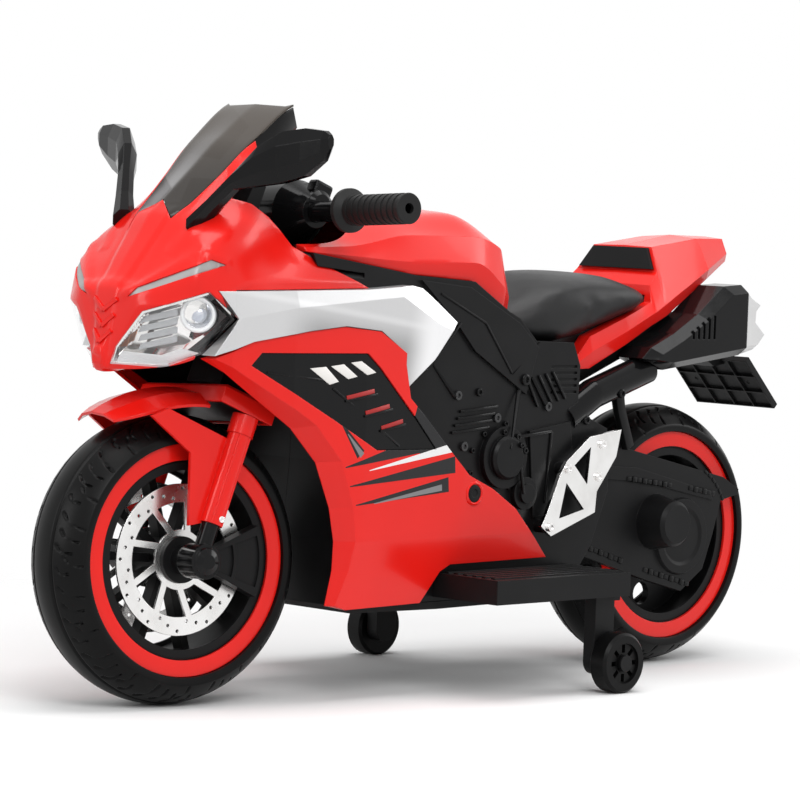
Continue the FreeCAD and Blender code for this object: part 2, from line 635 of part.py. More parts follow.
def wheel_well():
    """The room that the front tyre, fork and stem sweep as the bar turns."""
    corner = math.hypot(TYRE_RADIUS, TYRE_WIDTH / 2)
    fork = math.hypot(CAP_OUTER_Y, CROWN_FRONT) + SWING_GAP * 2
    tyre_room = Part.makeSphere(corner + SWING_GAP)
    fork_room = rod(fork, vec(0, 0, COVER_LOW / 2), vec(0, 0, NECK_LOW - SEAT_GAP))
    return on_head(tyre_room.fuse(fork_room))


def bar_room():
    """The room that the handlebar cover sweeps above the neck."""
    reach = math.hypot(HUB_COVER_HALF_LENGTH, HUB_COVER_END_RADIUS) + SWING_GAP
    return on_head(rod(reach, vec(0, 0, NECK_TOP), vec(0, 0, BAR_RISE + OVERRUN)))


# Steering: yoke, legs, covers, fender, axle and bar

def fork_yoke():
    crown = box(vec(-CROWN_REAR, -LEG_Y - LEG_RADIUS, CROWN_LOW),
                vec(CROWN_FRONT, LEG_Y + LEG_RADIUS, CROWN_TOP))
    edges = [edge for edge in crown.Edges
             if abs(edge.Vertexes[0].Z - edge.Vertexes[-1].Z) > CROWN_THICK / 2]
    crown = crown.makeFillet(CROWN_THICK / 2, edges)
    collar = rod(NECK_RADIUS, vec(0, 0, CROWN_TOP - CROWN_THICK / 2), vec(0, 0, NECK_LOW - SEAT_GAP))
    stem = rod(STEM_RADIUS, vec(0, 0, CROWN_TOP), vec(0, 0, BAR_RISE - BAR_RADIUS - FIT_GAP))
    return steered(crown.fuse([collar, stem]))


def fork_legs():
    reach = CROWN_LOW * 2
    tube_part = rod(LEG_RADIUS, vec(0, LEG_Y, 0), vec(0, LEG_Y, reach))
    inner = LEG_Y - AXLE_BLOCK_WIDTH / 2
    outer = LEG_Y + AXLE_BLOCK_WIDTH / 2
    block = spun([(inner, 0), (inner, AXLE_BLOCK_RADIUS), (outer, AXLE_BLOCK_RADIUS), (outer, 0)])
    cap = spun([(outer, 0), (outer, AXLE_CAP_RADIUS),
                (outer + AXLE_CAP_DEPTH / 2, AXLE_CAP_RADIUS * CAP_ROUND_SHARE),
                (outer + AXLE_CAP_DEPTH, AXLE_CAP_RADIUS / 2), (outer + AXLE_CAP_DEPTH, 0)])
    leg = tube_part.fuse([block, cap])
    leg = leg.cut(rod(AXLE_RADIUS + FIT_GAP, ORIGIN, vec(0, outer - AXLE_CAP_DEPTH, 0)))
    above = box(vec(-reach, -reach, CROWN_LOW - SEAT_GAP), vec(reach, reach, reach * 2))
    leg = leg.cut(turned(above, LEFT, -LEG_LEAN))
    return on_leg(both(leg))


def fork_covers():
    """Tubes over the legs with a wider shoulder, two ridges and a flat wing in front."""
    low = vec(0, LEG_Y, COVER_LOW)
    joint = vec(0, LEG_Y, COVER_JOINT)
    high = vec(0, LEG_Y, COVER_HIGH)
    cover = rod(COVER_RADIUS, low, joint).fuse(rod(COVER_BORE + COVER_SHOULDER_WALL, joint, high))
    ridges = []
    for side in (-1, 1):
        angle = math.radians(90 + side * COVER_RIDGE_ANGLE)
        out = vec(math.cos(angle), math.sin(angle), 0) * COVER_RADIUS
        ridges.append(rod(COVER_RIDGE, low + out, joint + out))
    wing = [vec(x_share * WING_REACH, WING_INNER_Y, z_share * WING_HEIGHT) for x_share,
            z_share in WING_SHARES]
    cover = cover.multiFuse(ridges + [prism(wing, vec(0, WING_THICK, 0))])
    return on_leg(both(largest(cover.cut(rod(COVER_BORE, vec(0, LEG_Y, 0), vec(0, LEG_Y, CROWN_LOW))))))


def fork_calipers():
    """Fan-shaped mock calipers behind the legs, each with raised borders."""
    def sector(inner, outer, y_low, y_high, start, sweep):
        profile = ring([vec(inner, y_low, 0), vec(outer, y_low, 0), vec(outer, y_high, 0),
                        vec(inner, y_high, 0)])
        return turned(Part.Face(profile).revolve(ORIGIN, LEFT, sweep), LEFT, start)
    y_high = CALIPER_INNER_Y + CALIPER_THICK
    fan = sector(CALIPER_INNER_RADIUS, CALIPER_OUTER_RADIUS, CALIPER_INNER_Y, y_high, CALIPER_START,
                 CALIPER_SWEEP)
    border = CALIPER_SWEEP / 8
    middle = (CALIPER_INNER_RADIUS + CALIPER_OUTER_RADIUS) / 2
    pans = [sector(CALIPER_INNER_RADIUS + CALIPER_RIB * 4, middle, y_high - CALIPER_RIB,
                   y_high + CALIPER_RIB,
                   CALIPER_START + border, CALIPER_SWEEP - border * 2),
            sector(middle + CALIPER_RIB * 2, CALIPER_OUTER_RADIUS - CALIPER_RIB * 2,
                   y_high - CALIPER_RIB,
                   y_high + CALIPER_RIB, CALIPER_START + border, CALIPER_SWEEP - border * 2)]
    return steered(both(fan.cut(pans)))


def fender_ring(angle, width, drop):
    """A thin crowned cross section of the fender at an angle forward of the steering axis."""
    half = width / 2
    edge_share, drop_share = FENDER_EDGE_SHARES
    profile = [(-half, -drop), (-half * edge_share, -drop * drop_share), (0, 0),
               (half * edge_share, -drop * drop_share), (half, -drop)]
    outer = [vec(0, y, FENDER_RADIUS + lift) for y, lift in profile]
    inner = [vec(0, y, FENDER_RADIUS + lift - FENDER_WALL) for y, lift in reversed(profile)]
    turn = FreeCAD.Rotation(LEFT, angle)
    return [turn.multVec(point) for point in outer + inner]


def fork_cap(grow, low):
    """A block over the fork crown, with its upper edges sloped off."""
    rear = -CROWN_REAR - grow
    front = CROWN_FRONT + grow
    half = LEG_Y + LEG_RADIUS + grow
    top = CROWN_TOP + grow
    slope = CAP_CHAMFER
    base = [vec(rear, -half, low), vec(front, -half, low), vec(front, half, low), vec(rear, half, low)]
    rim = [vec(point.x, point.y, top - slope) for point in base]
    lid = [vec(rear + slope, slope - half, top), vec(front - slope, slope - half, top),
           vec(front - slope, half - slope, top), vec(rear + slope, half - slope, top)]
    return ruled([base, rim, lid])


def front_fender():
    """The hood over the tyre and the cap that hides the fork crown."""
    rings = []
    for step in range(FENDER_STEPS + 1):
        share = step / FENDER_STEPS
        angle = FENDER_START + (FENDER_END - FENDER_START) * share
        narrow = 1 - FENDER_NARROW_SHARE * share ** 5
        rings.append(fender_ring(angle, FENDER_WIDTH * narrow, FENDER_DROP * narrow))
    hood = ruled(rings)
    cap = fork_cap(SEAT_GAP + CAP_WALL, CROWN_TOP - CAP_DROP)
    crown = box(vec(-CROWN_REAR - SEAT_GAP, -CAP_OUTER_Y + CAP_WALL, 0),
                vec(CROWN_FRONT + SEAT_GAP, CAP_OUTER_Y - CAP_WALL, CROWN_TOP + SEAT_GAP))
    neck = rod(NECK_RADIUS + SEAT_GAP, vec(0, 0, CROWN_LOW), vec(0, 0, NECK_TOP))
    return steered(largest(hood.fuse(cap).cut([crown, neck])))


def front_axle():
    half = LEG_Y + AXLE_BLOCK_WIDTH / 2 - AXLE_CAP_DEPTH - FIT_GAP
    return steered(rod(AXLE_RADIUS, vec(0, -half, 0), vec(0, half, 0)))


def handlebar():
    ends = vec(0, BAR_HALF_LENGTH, 0)
    return steered(moved(tube(BAR_RADIUS, BAR_RADIUS - BAR_WALL, ends * -1, ends), vec(0, 0, BAR_RISE)))


def horn_axis():
    """The way the horn button faces: back towards the rider and up."""
    tilt = math.radians(HORN_TILT)
    return vec(-math.cos(tilt), 0, math.sin(tilt))


def horn_place():
    """Centre of the horn button's seat on the rear of the handlebar cover."""
    return vec(0, HORN_Y, BAR_RISE) + horn_axis() * hub_cover_radius(HORN_Y)


def hub_cover_radius(y):
    straight = HUB_COVER_HALF_LENGTH / 2
    share = max(0.0, (abs(y) - straight) / (HUB_COVER_HALF_LENGTH - straight))
    return HUB_COVER_RADIUS + (HUB_COVER_END_RADIUS - HUB_COVER_RADIUS) * share


def handlebar_cover():
    half = HUB_COVER_HALF_LENGTH
    bore = BAR_RADIUS + FIT_GAP
    body = spun([(-half, bore), (-half, HUB_COVER_END_RADIUS), (-half / 2, HUB_COVER_RADIUS),
                 (half / 2, HUB_COVER_RADIUS), (half, HUB_COVER_END_RADIUS), (half, bore)])
    body = moved(body, vec(0, 0, BAR_RISE))
    skirt_low = NECK_TOP + SEAT_GAP
    skirt = rod(HUB_COVER_SKIRT_RADIUS, vec(0, 0, skirt_low), vec(0, 0, BAR_RISE - BAR_RADIUS))
    skirt = skirt.cut(rod(bore, vec(0, -half, BAR_RISE), vec(0, half, BAR_RISE)))
    body = body.fuse(skirt)
    body = body.cut(rod(STEM_RADIUS + FIT_GAP, vec(0, 0, 0), vec(0, 0, BAR_RISE)))
    seat = horn_place()
    out = horn_axis()
    well = rod(HORN_RADIUS + BUTTON_GAP, seat + out * HORN_LENGTH,
               seat - out * (HORN_LENGTH - HORN_PROUD + BUTTON_GAP + HORN_TRAVEL))
    pad = rod(HORN_RADIUS + BAR_WALL * 2, seat + out * (HORN_PROUD / 4), seat - out * HORN_LENGTH)
    pad = pad.cut(rod(bore, vec(0, -half, BAR_RISE), vec(0, half, BAR_RISE)))
    return steered(body.fuse(pad).cut(well))


def horn_button():
    seat = horn_place()
    out = horn_axis()
    return steered(rod(HORN_RADIUS, seat + out * HORN_PROUD, seat - out * (HORN_LENGTH - HORN_PROUD)))


def grips():
    end = BAR_HALF_LENGTH + GRIP_CAP
    start = end - GRIP_LENGTH
    bore = BAR_RADIUS + FIT_GAP
    profile = [(start, bore), (start, GRIP_FLANGE_RADIUS),
               (start + GRIP_FLANGE_WIDTH, GRIP_FLANGE_RADIUS)]
    pitch = (GRIP_LENGTH - GRIP_FLANGE_WIDTH * 3) / GRIP_RIB_COUNT
    for index in range(GRIP_RIB_COUNT):
        foot = start + GRIP_FLANGE_WIDTH * 2 + index * pitch
        profile += [(foot, GRIP_RADIUS - GRIP_RIB), (foot, GRIP_RADIUS),
                    (foot + pitch * GRIP_RIB_SHARE, GRIP_RADIUS),
                     (foot + pitch * GRIP_RIB_SHARE, GRIP_RADIUS - GRIP_RIB)]
    profile += [(end - GRIP_RIB, GRIP_RADIUS), (end, GRIP_RADIUS - GRIP_RIB), (end, BAR_RADIUS / 2),
                (BAR_HALF_LENGTH + FIT_GAP, BAR_RADIUS / 2), (BAR_HALF_LENGTH + FIT_GAP, bore)]
    return steered(both(moved(spun(profile), vec(0, 0, BAR_RISE))))


# Wheels, drawn about the Y axis at the origin

def tyre():
    half = TYRE_WIDTH / 2
    seat = RING_SEAT_Y
    step = RING_OUTER_RADIUS + SEAT_GAP
    inner = seat - TYRE_WALL
    crown = Part.Arc(vec(0, half, TYRE_SHOULDER_RADIUS), vec(0, 0, TYRE_RADIUS),
                     vec(0, -half, TYRE_SHOULDER_RADIUS)).toShape()
    right = [vec(0, -half, TYRE_SHOULDER_RADIUS), vec(0, -half + SEAT_GAP, step), vec(0, -seat, step),
             vec(0, -seat, TYRE_BEAD_RADIUS), vec(0, -inner, TYRE_BEAD_RADIUS), vec(0, -inner,
                                                                                    step - TYRE_WALL),
             vec(0, -half + TYRE_WALL, TYRE_SHOULDER_RADIUS)]
    left = [vec(0, -point.y, point.z) for point in reversed(right)]
    cavity = Part.Arc(right[-1], vec(0, 0, TYRE_RADIUS - TYRE_WALL), left[0]).toShape()
    edges = [crown]
    for run in (right, left):
        edges += [Part.makeLine(a, b) for a, b in zip(run, run[1:])]
    edges.append(cavity)
    wire = Part.Wire(Part.__sortEdges__(edges))
    return Part.Face(wire).revolve(ORIGIN, LEFT, 360)


def trim_rings():
    low = RING_SEAT_Y + FIT_GAP
    return both(spun([(low, RING_INNER_RADIUS), (low, RING_OUTER_RADIUS),
                      (low + RING_THICK, RING_OUTER_RADIUS - FIT_GAP),
                      (low + RING_THICK, RING_INNER_RADIUS)]))


def rim_barrel():
    outer = TYRE_BEAD_RADIUS - FIT_GAP
    inner = outer - RIM_WALL
    lip = outer - RIM_LIP
    half = RING_SEAT_Y
    return spun([(-half, lip), (-half, outer), (half, outer), (half, lip), (half - RIM_LIP_WIDTH, lip),
                 (half - RIM_LIP_WIDTH * 2, inner), (RIM_LIP_WIDTH * 2 - half,
                                                     inner), (RIM_LIP_WIDTH - half, lip)])


def front_rim():
    half = HUB_HALF_LENGTH
    bore = AXLE_RADIUS + RUN_GAP
    hub_end = half + HUB_NOSE_LENGTH
    hub = spun([(-hub_end, bore), (-hub_end, HUB_NOSE_RADIUS), (-half, HUB_NOSE_RADIUS),
                (-half, HUB_RADIUS),
                (half, HUB_RADIUS), (half, HUB_NOSE_RADIUS), (hub_end, HUB_NOSE_RADIUS), (hub_end,
                                                                                          bore)])
    spoke = box(vec(-SPOKE_WIDTH / 2, -SPOKE_THICK / 2, HUB_RADIUS - RIM_WALL),
                vec(SPOKE_WIDTH / 2, SPOKE_THICK / 2, TYRE_BEAD_RADIUS - RIM_WALL / 2))
    return rim_barrel().fuse([hub, around(spoke, SPOKE_COUNT)])


def brake_disc():
    low = DISC_Y
    high = DISC_Y + DISC_THICK
    band_inner = DISC_OUTER_RADIUS - DISC_BAND
    eye = HUB_RADIUS + FIT_GAP
    eye_outer = eye + DISC_ARM_WIDTH
    band = spun([(low, band_inner), (low, DISC_OUTER_RADIUS), (high, DISC_OUTER_RADIUS),
                 (high, band_inner)])
    centre = spun([(low, eye), (low, eye_outer), (high, eye_outer), (high, eye)])
    arm = box(vec(-DISC_ARM_WIDTH / 2, low, 0),
              vec(DISC_ARM_WIDTH / 2, high, band_inner - eye + DISC_ARM_WIDTH / 2))
    arm = moved(turned(arm, LEFT, DISC_ARM_SKEW), vec(0, 0, eye + DISC_ARM_WIDTH / 4))
    disc = band.fuse([centre, around(arm, DISC_ARM_COUNT)])
    disc = disc.cut(rod(eye, vec(0, low, 0), vec(0, high, 0)))
    holes = []
    for index in range(DISC_HOLE_COUNT):
        radius = band_inner + DISC_BAND * DISC_HOLE_SHARES[index % len(DISC_HOLE_SHARES)]
        hole = rod(DISC_HOLE_RADIUS, vec(0, low - DISC_THICK, radius),
                   vec(0, high + DISC_THICK, radius))
        holes.append(turned(hole, LEFT, 360 * index / DISC_HOLE_COUNT))
    return disc.cut(holes)


def front_wheel():
    return {"front_tyre": steered(tyre()), "front_rim": steered(front_rim()),
            "front_trim_rings": steered(trim_rings()), "front_brake_discs": steered(both(brake_disc()))}


def rear_rim():
    web = REAR_WEB_THICK / 2
    bore = AXLE_RADIUS + RUN_GAP
    hub = REAR_HUB_HALF_LENGTH
    far = RING_SEAT_Y + RIM_LIP_WIDTH
    disc = spun([(-far, bore), (-far, HUB_NOSE_RADIUS), (-web, HUB_RADIUS),
                 (-web, TYRE_BEAD_RADIUS - RIM_WALL / 2),
                 (web, TYRE_BEAD_RADIUS - RIM_WALL / 2), (web, HUB_RADIUS), (hub, HUB_RADIUS), (hub,
                                                                                                bore)])
    window = rod(REAR_WINDOW_RADIUS, vec(0, -RING_SEAT_Y, REAR_WINDOW_PITCH_RADIUS),
                 vec(0, RING_SEAT_Y, REAR_WINDOW_PITCH_RADIUS))
    return rim_barrel().fuse(disc.cut(around(window, REAR_WINDOW_COUNT)))


def gear(teeth, y_low, bore):
    """A spur gear about the Y axis with straight-sided teeth and some backlash."""
    pitch = GEAR_MODULE * teeth / 2
    root = pitch - GEAR_MODULE * GEAR_ROOT_SHARE
    tip = pitch + GEAR_MODULE * GEAR_TIP_SHARE
    step = 2 * math.pi / teeth
    points = []
    for index in range(teeth):
        for share, radius in zip(GEAR_FLANK_SHARES, (root, tip, tip, root)):
            angle = (index + share) * step
            points.append(vec(radius * math.cos(angle), y_low, radius * math.sin(angle)))
    return prism(points, vec(0, GEAR_WIDTH, 0)).cut(rod(bore, vec(0, y_low, 0),
                                                        vec(0, y_low + GEAR_WIDTH, 0)))


def gear_y():
    return GEARBOX_INNER_Y + GEARBOX_WALL + PANEL_GAP


def drive_gear():
    """Gear fixed to the rear rim, with its boss on the rim's hub."""
    low = gear_y()
    boss = tube(HUB_RADIUS * GEAR_BOSS_SHARE, AXLE_RADIUS + RUN_GAP,
                vec(0, REAR_HUB_HALF_LENGTH + FIT_GAP, 0), vec(0, low, 0))
    wheel = gear(GEAR_TEETH, low, AXLE_RADIUS + RUN_GAP).fuse(boss)
    return at_rear(turned(wheel, LEFT, -MOTOR_ANGLE))


def motor_pinion():
    pinion = gear(PINION_TEETH, gear_y(), MOTOR_SHAFT_RADIUS + RUN_GAP)
    half_tooth = 180 / PINION_TEETH
    pinion = turned(pinion, LEFT, half_tooth + 180 - MOTOR_ANGLE)
    return at_rear(moved(pinion, motor_offset()))


def gearbox_outline(margin):
    """Both gears' circles grown by a margin, with the strip between them."""
    big = GEAR_MODULE * (GEAR_TEETH / 2 + 1) + margin
    small = GEAR_MODULE * (PINION_TEETH / 2 + 1) + margin
    return big, small


def gearbox_solid(y_low, y_high, margin):
    big, small = gearbox_outline(margin)
    wheel = rod(big, vec(0, y_low, 0), vec(0, y_high, 0))
    away = motor_offset()
    pinion = moved(rod(small, vec(0, y_low, 0), vec(0, y_high, 0)), away)
    strip = prism([vec(0, y_low, -small), vec(GEAR_DISTANCE, y_low, -small),
                   vec(GEAR_DISTANCE, y_low, small),
                   vec(0, y_low, small)], vec(0, y_high - y_low, 0))
    return wheel.fuse([pinion, turned(strip, LEFT, -MOTOR_ANGLE)])


def gearbox_housing():
    low = GEARBOX_INNER_Y
    high = low + GEARBOX_DEPTH
    solid = gearbox_solid(low, high, GEARBOX_MARGIN)
    room = gearbox_solid(low + GEARBOX_WALL, high - GEARBOX_WALL, GEARBOX_MARGIN - GEARBOX_WALL)
    boss = rod(HUB_RADIUS * GEAR_BOSS_SHARE + BUTTON_GAP, vec(0, low - GEARBOX_WALL, 0),
               vec(0, low + GEARBOX_WALL * 2, 0))
    shaft = moved(rod(MOTOR_SHAFT_RADIUS + BUTTON_GAP, vec(0, low, 0), vec(0, high + OVERRUN, 0)),
                  motor_offset())
    post = rod(HUB_NOSE_RADIUS, vec(0, high - GEARBOX_WALL, 0), vec(0, ARM_INNER_Y - FIT_GAP, 0))
    axle = rod(AXLE_RADIUS + FIT_GAP, vec(0, 0, 0), vec(0, ARM_INNER_Y, 0))
    return at_rear(solid.cut([room, boss, shaft]).fuse(post).cut(axle))


def drive_motor():
    low = GEARBOX_INNER_Y + GEARBOX_DEPTH + FIT_GAP
    can = rod(MOTOR_RADIUS, vec(0, low, 0), vec(0, low + MOTOR_LENGTH, 0))
    shaft = rod(MOTOR_SHAFT_RADIUS, vec(0, gear_y(), 0), vec(0, low, 0))
    motor = moved(can.fuse(shaft), motor_offset())
    post = rod(HUB_NOSE_RADIUS + FIT_GAP, vec(0, low, 0), vec(0, ARM_INNER_Y, 0))
    return at_rear(motor.cut(post))


def rear_axle():
    half = ARM_INNER_Y + ARM_THICK + REAR_AXLE_OVERHANG
    return at_rear(rod(AXLE_RADIUS, vec(0, -half, 0), vec(0, half, 0)))


def swingarm(with_motor):
    inner = ARM_INNER_Y
    outer = inner + ARM_THICK
    arm = side_prism(SWINGARM_SHARES, inner, outer)
    chain = side_prism(CHAIN_SHARES, outer - ARM_RELIEF, outer + ARM_RELIEF / 2)
    axle = rear_axle_point()
    cover = spun([(outer - ARM_RELIEF, 0), (outer - ARM_RELIEF, SPROCKET_RADIUS),
                  (outer + ARM_RELIEF, SPROCKET_RADIUS - ARM_RELIEF),
                  (outer + ARM_RELIEF, SPROCKET_STEP_RADIUS),
                  (outer + ARM_RELIEF / 2, SPROCKET_STEP_RADIUS - ARM_RELIEF),
                  (outer + ARM_RELIEF / 2, 0)])
    arm = arm.fuse([chain, moved(cover, axle)])
    motor = axle + motor_offset()
    cap_top = outer + MOTOR_CAP_LENGTH
    if with_motor:
        cap = spun([(outer - ARM_RELIEF, 0), (outer - ARM_RELIEF, MOTOR_CAP_BASE_RADIUS),
                    (cap_top - ARM_RELIEF, MOTOR_CAP_RADIUS),
                    (cap_top, MOTOR_CAP_RADIUS - ARM_RELIEF), (cap_top, 0)])
        arm = arm.fuse(moved(cap, motor))
        room = rod(MOTOR_RADIUS + FIT_GAP, motor,
                   motor + vec(0, GEARBOX_INNER_Y + GEARBOX_DEPTH + MOTOR_LENGTH + SEAT_GAP, 0))
        arm = arm.cut(room)
    hole = rod(AXLE_RADIUS + FIT_GAP, axle, axle + vec(0, outer + OVERRUN, 0))
    arm = largest(arm.cut(hole))
    return arm


# Frame shells and engine relief

def frame_half():
    outline = FRAME_FRONT_SHARES + TANK_SEAM_SHARES + SEAT_SEAM_SHARES + FRAME_REAR_SHARES
    boom_outline = SEAT_SEAM_SHARES + BOOM_SEAM_SHARES + BOOM_END_SHARES
    main = side_prism(outline, 0, FRAME_HALF_WIDTH)
    main_room = side_prism(outline, -OVERRUN, FRAME_HALF_WIDTH - FRAME_WALL, FRAME_WALL)
    boom = side_prism(boom_outline, 0, BOOM_HALF_WIDTH)
    boom_room = side_prism(boom_outline, -OVERRUN, BOOM_HALF_WIDTH - FRAME_WALL, FRAME_WALL)
    neck_outline = [head_point(NECK_RADIUS, 0, NECK_LOW), head_point(NECK_RADIUS, 0, NECK_TOP),
                    head_point(-NECK_RADIUS, 0, NECK_TOP),
                    head_point(-NECK_RADIUS * 3, 0, NECK_TOP - NECK_RADIUS),
                    head_point(-NECK_RADIUS * 3, 0, NECK_LOW + NECK_RADIUS),
                    head_point(-NECK_RADIUS, 0, NECK_LOW)]
    neck = prism(neck_outline, vec(0, NECK_RADIUS, 0))
    shell = main.fuse(boom).cut([main_room, boom_room])
    shell = shell.cut(wheel_well()).fuse([wheel_well_liner(main), neck.cut(wheel_well())])
    shell = shell.fuse(engine_relief())
    shell = shell.cut(on_head(rod(STEM_RADIUS + RUN_GAP, vec(0, 0, 0), vec(0, 0, BAR_RISE))))
    nose_skin = cowl(-PANEL_GAP).cut(cowl(PANEL_WALL + PANEL_GAP, -OVERRUN))
    return largest(shell.cut([frame_fins(), bar_room(), nose_skin]))


def wheel_well_liner(main):
    """The frame's front wall, curved around the room that the front wheel sweeps."""
    corner = math.hypot(TYRE_RADIUS, TYRE_WIDTH / 2) + SWING_GAP
    fork = math.hypot(CAP_OUTER_Y, CROWN_FRONT) + SWING_GAP * 2
    tyre_room = Part.makeSphere(corner + FRAME_WALL)
    fork_room = rod(fork + FRAME_WALL, vec(0, 0, COVER_LOW / 2), vec(0, 0, NECK_LOW - SEAT_GAP))
    return main.common(on_head(tyre_room.fuse(fork_room))).cut(wheel_well())


def engine_relief():
    """Mock engine covers moulded on the outer face of a frame half."""
    face = FRAME_HALF_WIDTH - FRAME_WALL / 2
    top = FRAME_HALF_WIDTH + ENGINE_RELIEF
    clutch = at(CLUTCH_SHARES[0], 0, CLUTCH_SHARES[1])
    pivot = at(PIVOT_SHARES[0], 0, PIVOT_SHARES[1])
    middle = FRAME_HALF_WIDTH + ENGINE_RELIEF / 2
    cover = spun([(face, 0), (face, CLUTCH_RADIUS), (middle, CLUTCH_RADIUS),
                  (middle, CLUTCH_STEP_RADIUS),
                  (top - PANEL_WALL, CLUTCH_STEP_RADIUS), (top, CLUTCH_STEP_RADIUS - PANEL_WALL), (top,
                                                                                                   0)])
    boss = spun([(face, 0), (face, PIVOT_RADIUS), (middle, PIVOT_RADIUS), (middle, PIVOT_STEP_RADIUS),
                 (top - PANEL_WALL, PIVOT_STEP_RADIUS), (top - PANEL_WALL, 0)])
    spar = side_prism(SPAR_SHARES, face, FRAME_HALF_WIDTH + SPAR_RELIEF)
    plate = side_prism(COVER_PLATE_SHARES, face, FRAME_HALF_WIDTH + SPAR_RELIEF)
    posts = [rod(FOOTREST_POST_RADIUS, at(x, 0, z) + vec(0, face, 0), at(x, 0, z) + vec(0, top, 0))
             for x, z in FOOTREST_POST_SHARES]
    return spar.multiFuse([moved(cover, clutch), moved(boss, pivot), plate] + posts)


def frame_fins():
    """Cooling slots cut in the frame's side below the seat."""
    top = SEAT_SEAM_SHARES[1]
    start = at(top[0], 0, top[1]) + vec(FIN_PITCH * 3, FRAME_HALF_WIDTH - FIN_DEPTH, -FIN_PITCH * 4)
    slots = []
    for index in range(FIN_COUNT):
        low = start + vec(-FIN_PITCH * 4, 0, -index * FIN_PITCH)
        slots.append(box(low, low + vec(FIN_PITCH * 6, FIN_DEPTH * 2, FIN_WIDTH)))
    return Part.makeCompound(slots)


def frame_bolts():
    """Screw heads on the footrest plates and the frame's sides."""
    places = [at(x, 0, z) + vec(0, FOOTREST_Y + FOOTREST_THICK, 0) for x, z in FOOTREST_BOLT_SHARES]
    places += [at(x, 0, z) + vec(0, FRAME_HALF_WIDTH, 0) for x, z in FRAME_BOLT_SHARES]
    heads = []
    for place in places:
        start = place + vec(0, FIT_GAP, 0)
        head = tube(BOLT_RADIUS, BOLT_SOCKET_RADIUS, start, start + vec(0, BOLT_HEIGHT, 0))
        floor = rod(BOLT_RADIUS, start, start + vec(0, BOLT_HEIGHT / 2, 0))
        heads.append(head.fuse(floor).removeSplitter())
    return Part.makeCompound(heads + [mirrored(head) for head in heads])


def footrest_plates():
    plate = side_prism(FOOTREST_SHARES, FOOTREST_Y + FIT_GAP, FOOTREST_Y + FOOTREST_THICK)
    windows = [side_prism(window, FOOTREST_Y - OVERRUN, FOOTREST_Y + OVERRUN)
               for window in FOOTREST_WINDOW_SHARES]
    return both(plate.cut(windows))


# Bodywork

def cowl(depth=0.0, rear=0.0):
    return shell_form(COWL_SHARES, depth, -depth, rear)


def screen_prism(grow):
    """The screen's outline on its slope, grown by a gap and run through the cowl."""
    slope = math.radians(SCREEN_SLOPE)
    along = vec(-math.cos(slope), 0, math.sin(slope))
    normal = vec(math.sin(slope), 0, math.cos(slope))
    notch = at(NOTCH_SHARES[0], 0, NOTCH_SHARES[1])
    half = [(s * SCREEN_LENGTH, y * BODY_WIDTH) for s, y in SCREEN_SHARES]
    whole = half + [(s, -y) for s, y in reversed(half) if y > 0]
    points = [notch + along * s + LEFT * y - normal * OVERRUN for s, y in inset(whole, -grow)]
    return prism(points, normal * (2 * OVERRUN))


def view_prism(shares, depth):
    """An outline seen along the left headlight's view, drawn in by a depth and run along that view."""
    across = [(a * BODY_LENGTH, z * BODY_HEIGHT) for a, z in shares]
    yaw = math.radians(HEADLIGHT_YAW)
    out = vec(math.cos(yaw), math.sin(yaw), 0)
    side = vec(math.sin(yaw), -math.cos(yaw), 0)
    near = BODY_LENGTH / 4
    points = [side * a + out * near + UP * z for a, z in (inset(across, depth) if depth else across)]
    return prism(points, out * near), out


def nose_strips():
    layer = cowl().cut(cowl(STRIP_DEPTH))
    return both(largest(layer.common(view_prism(STRIP_SHARES, FIT_GAP)[0])))


def nose_fairing():
    shell = cowl().cut(cowl(PANEL_WALL, -OVERRUN))
    seam = moved(side_prism(NOSE_SEAM_SHARES, -BODY_WIDTH, BODY_WIDTH), vec(0, 0, PANEL_GAP / 2))
    chin_end = at(NOSE_SEAM_SHARES[0][0] - CHIN_SHARE, 0, NOSE_SEAM_SHARES[1][1])
    keel_low = at(COWL_SHARES[-1][0], 0, 0) - vec(OVERRUN, BODY_WIDTH, 0)
    keel_room = box(keel_low, chin_end + vec(0, BODY_WIDTH, 0))
    light = view_prism(HEADLIGHT_SHARES, 0.0)[0]
    strip = view_prism(STRIP_SHARES, 0.0)[0].common(cowl().cut(cowl(STRIP_DEPTH + FIT_GAP)))
    shell = shell.cut([screen_prism(PANEL_GAP), side_prism(COCKPIT_SHARES, -BODY_WIDTH, BODY_WIDTH)])
    chin = box(at(NOSE_SEAM_SHARES[0][0] - CHIN_SHARE, 0, 0) - vec(0, BODY_WIDTH, 0),
               at(1, 1, 1) + vec(0, BODY_WIDTH, 0))
    shell = shell.cut([seam.cut(chin), keel_room])
    panels = [side_prism(SIDE_PANEL_SHARES, BODY_WIDTH / 8, BODY_WIDTH, -PANEL_GAP / 2),
              side_prism(FAIRING_FRONT_SHARES + FAIRING_REST_SHARES, BODY_WIDTH / 8, BODY_WIDTH,
                         -PANEL_GAP / 2)]
    tools = [light, strip] + panels
    return largest(shell.cut(tools + [mirrored(tool) for tool in tools]))


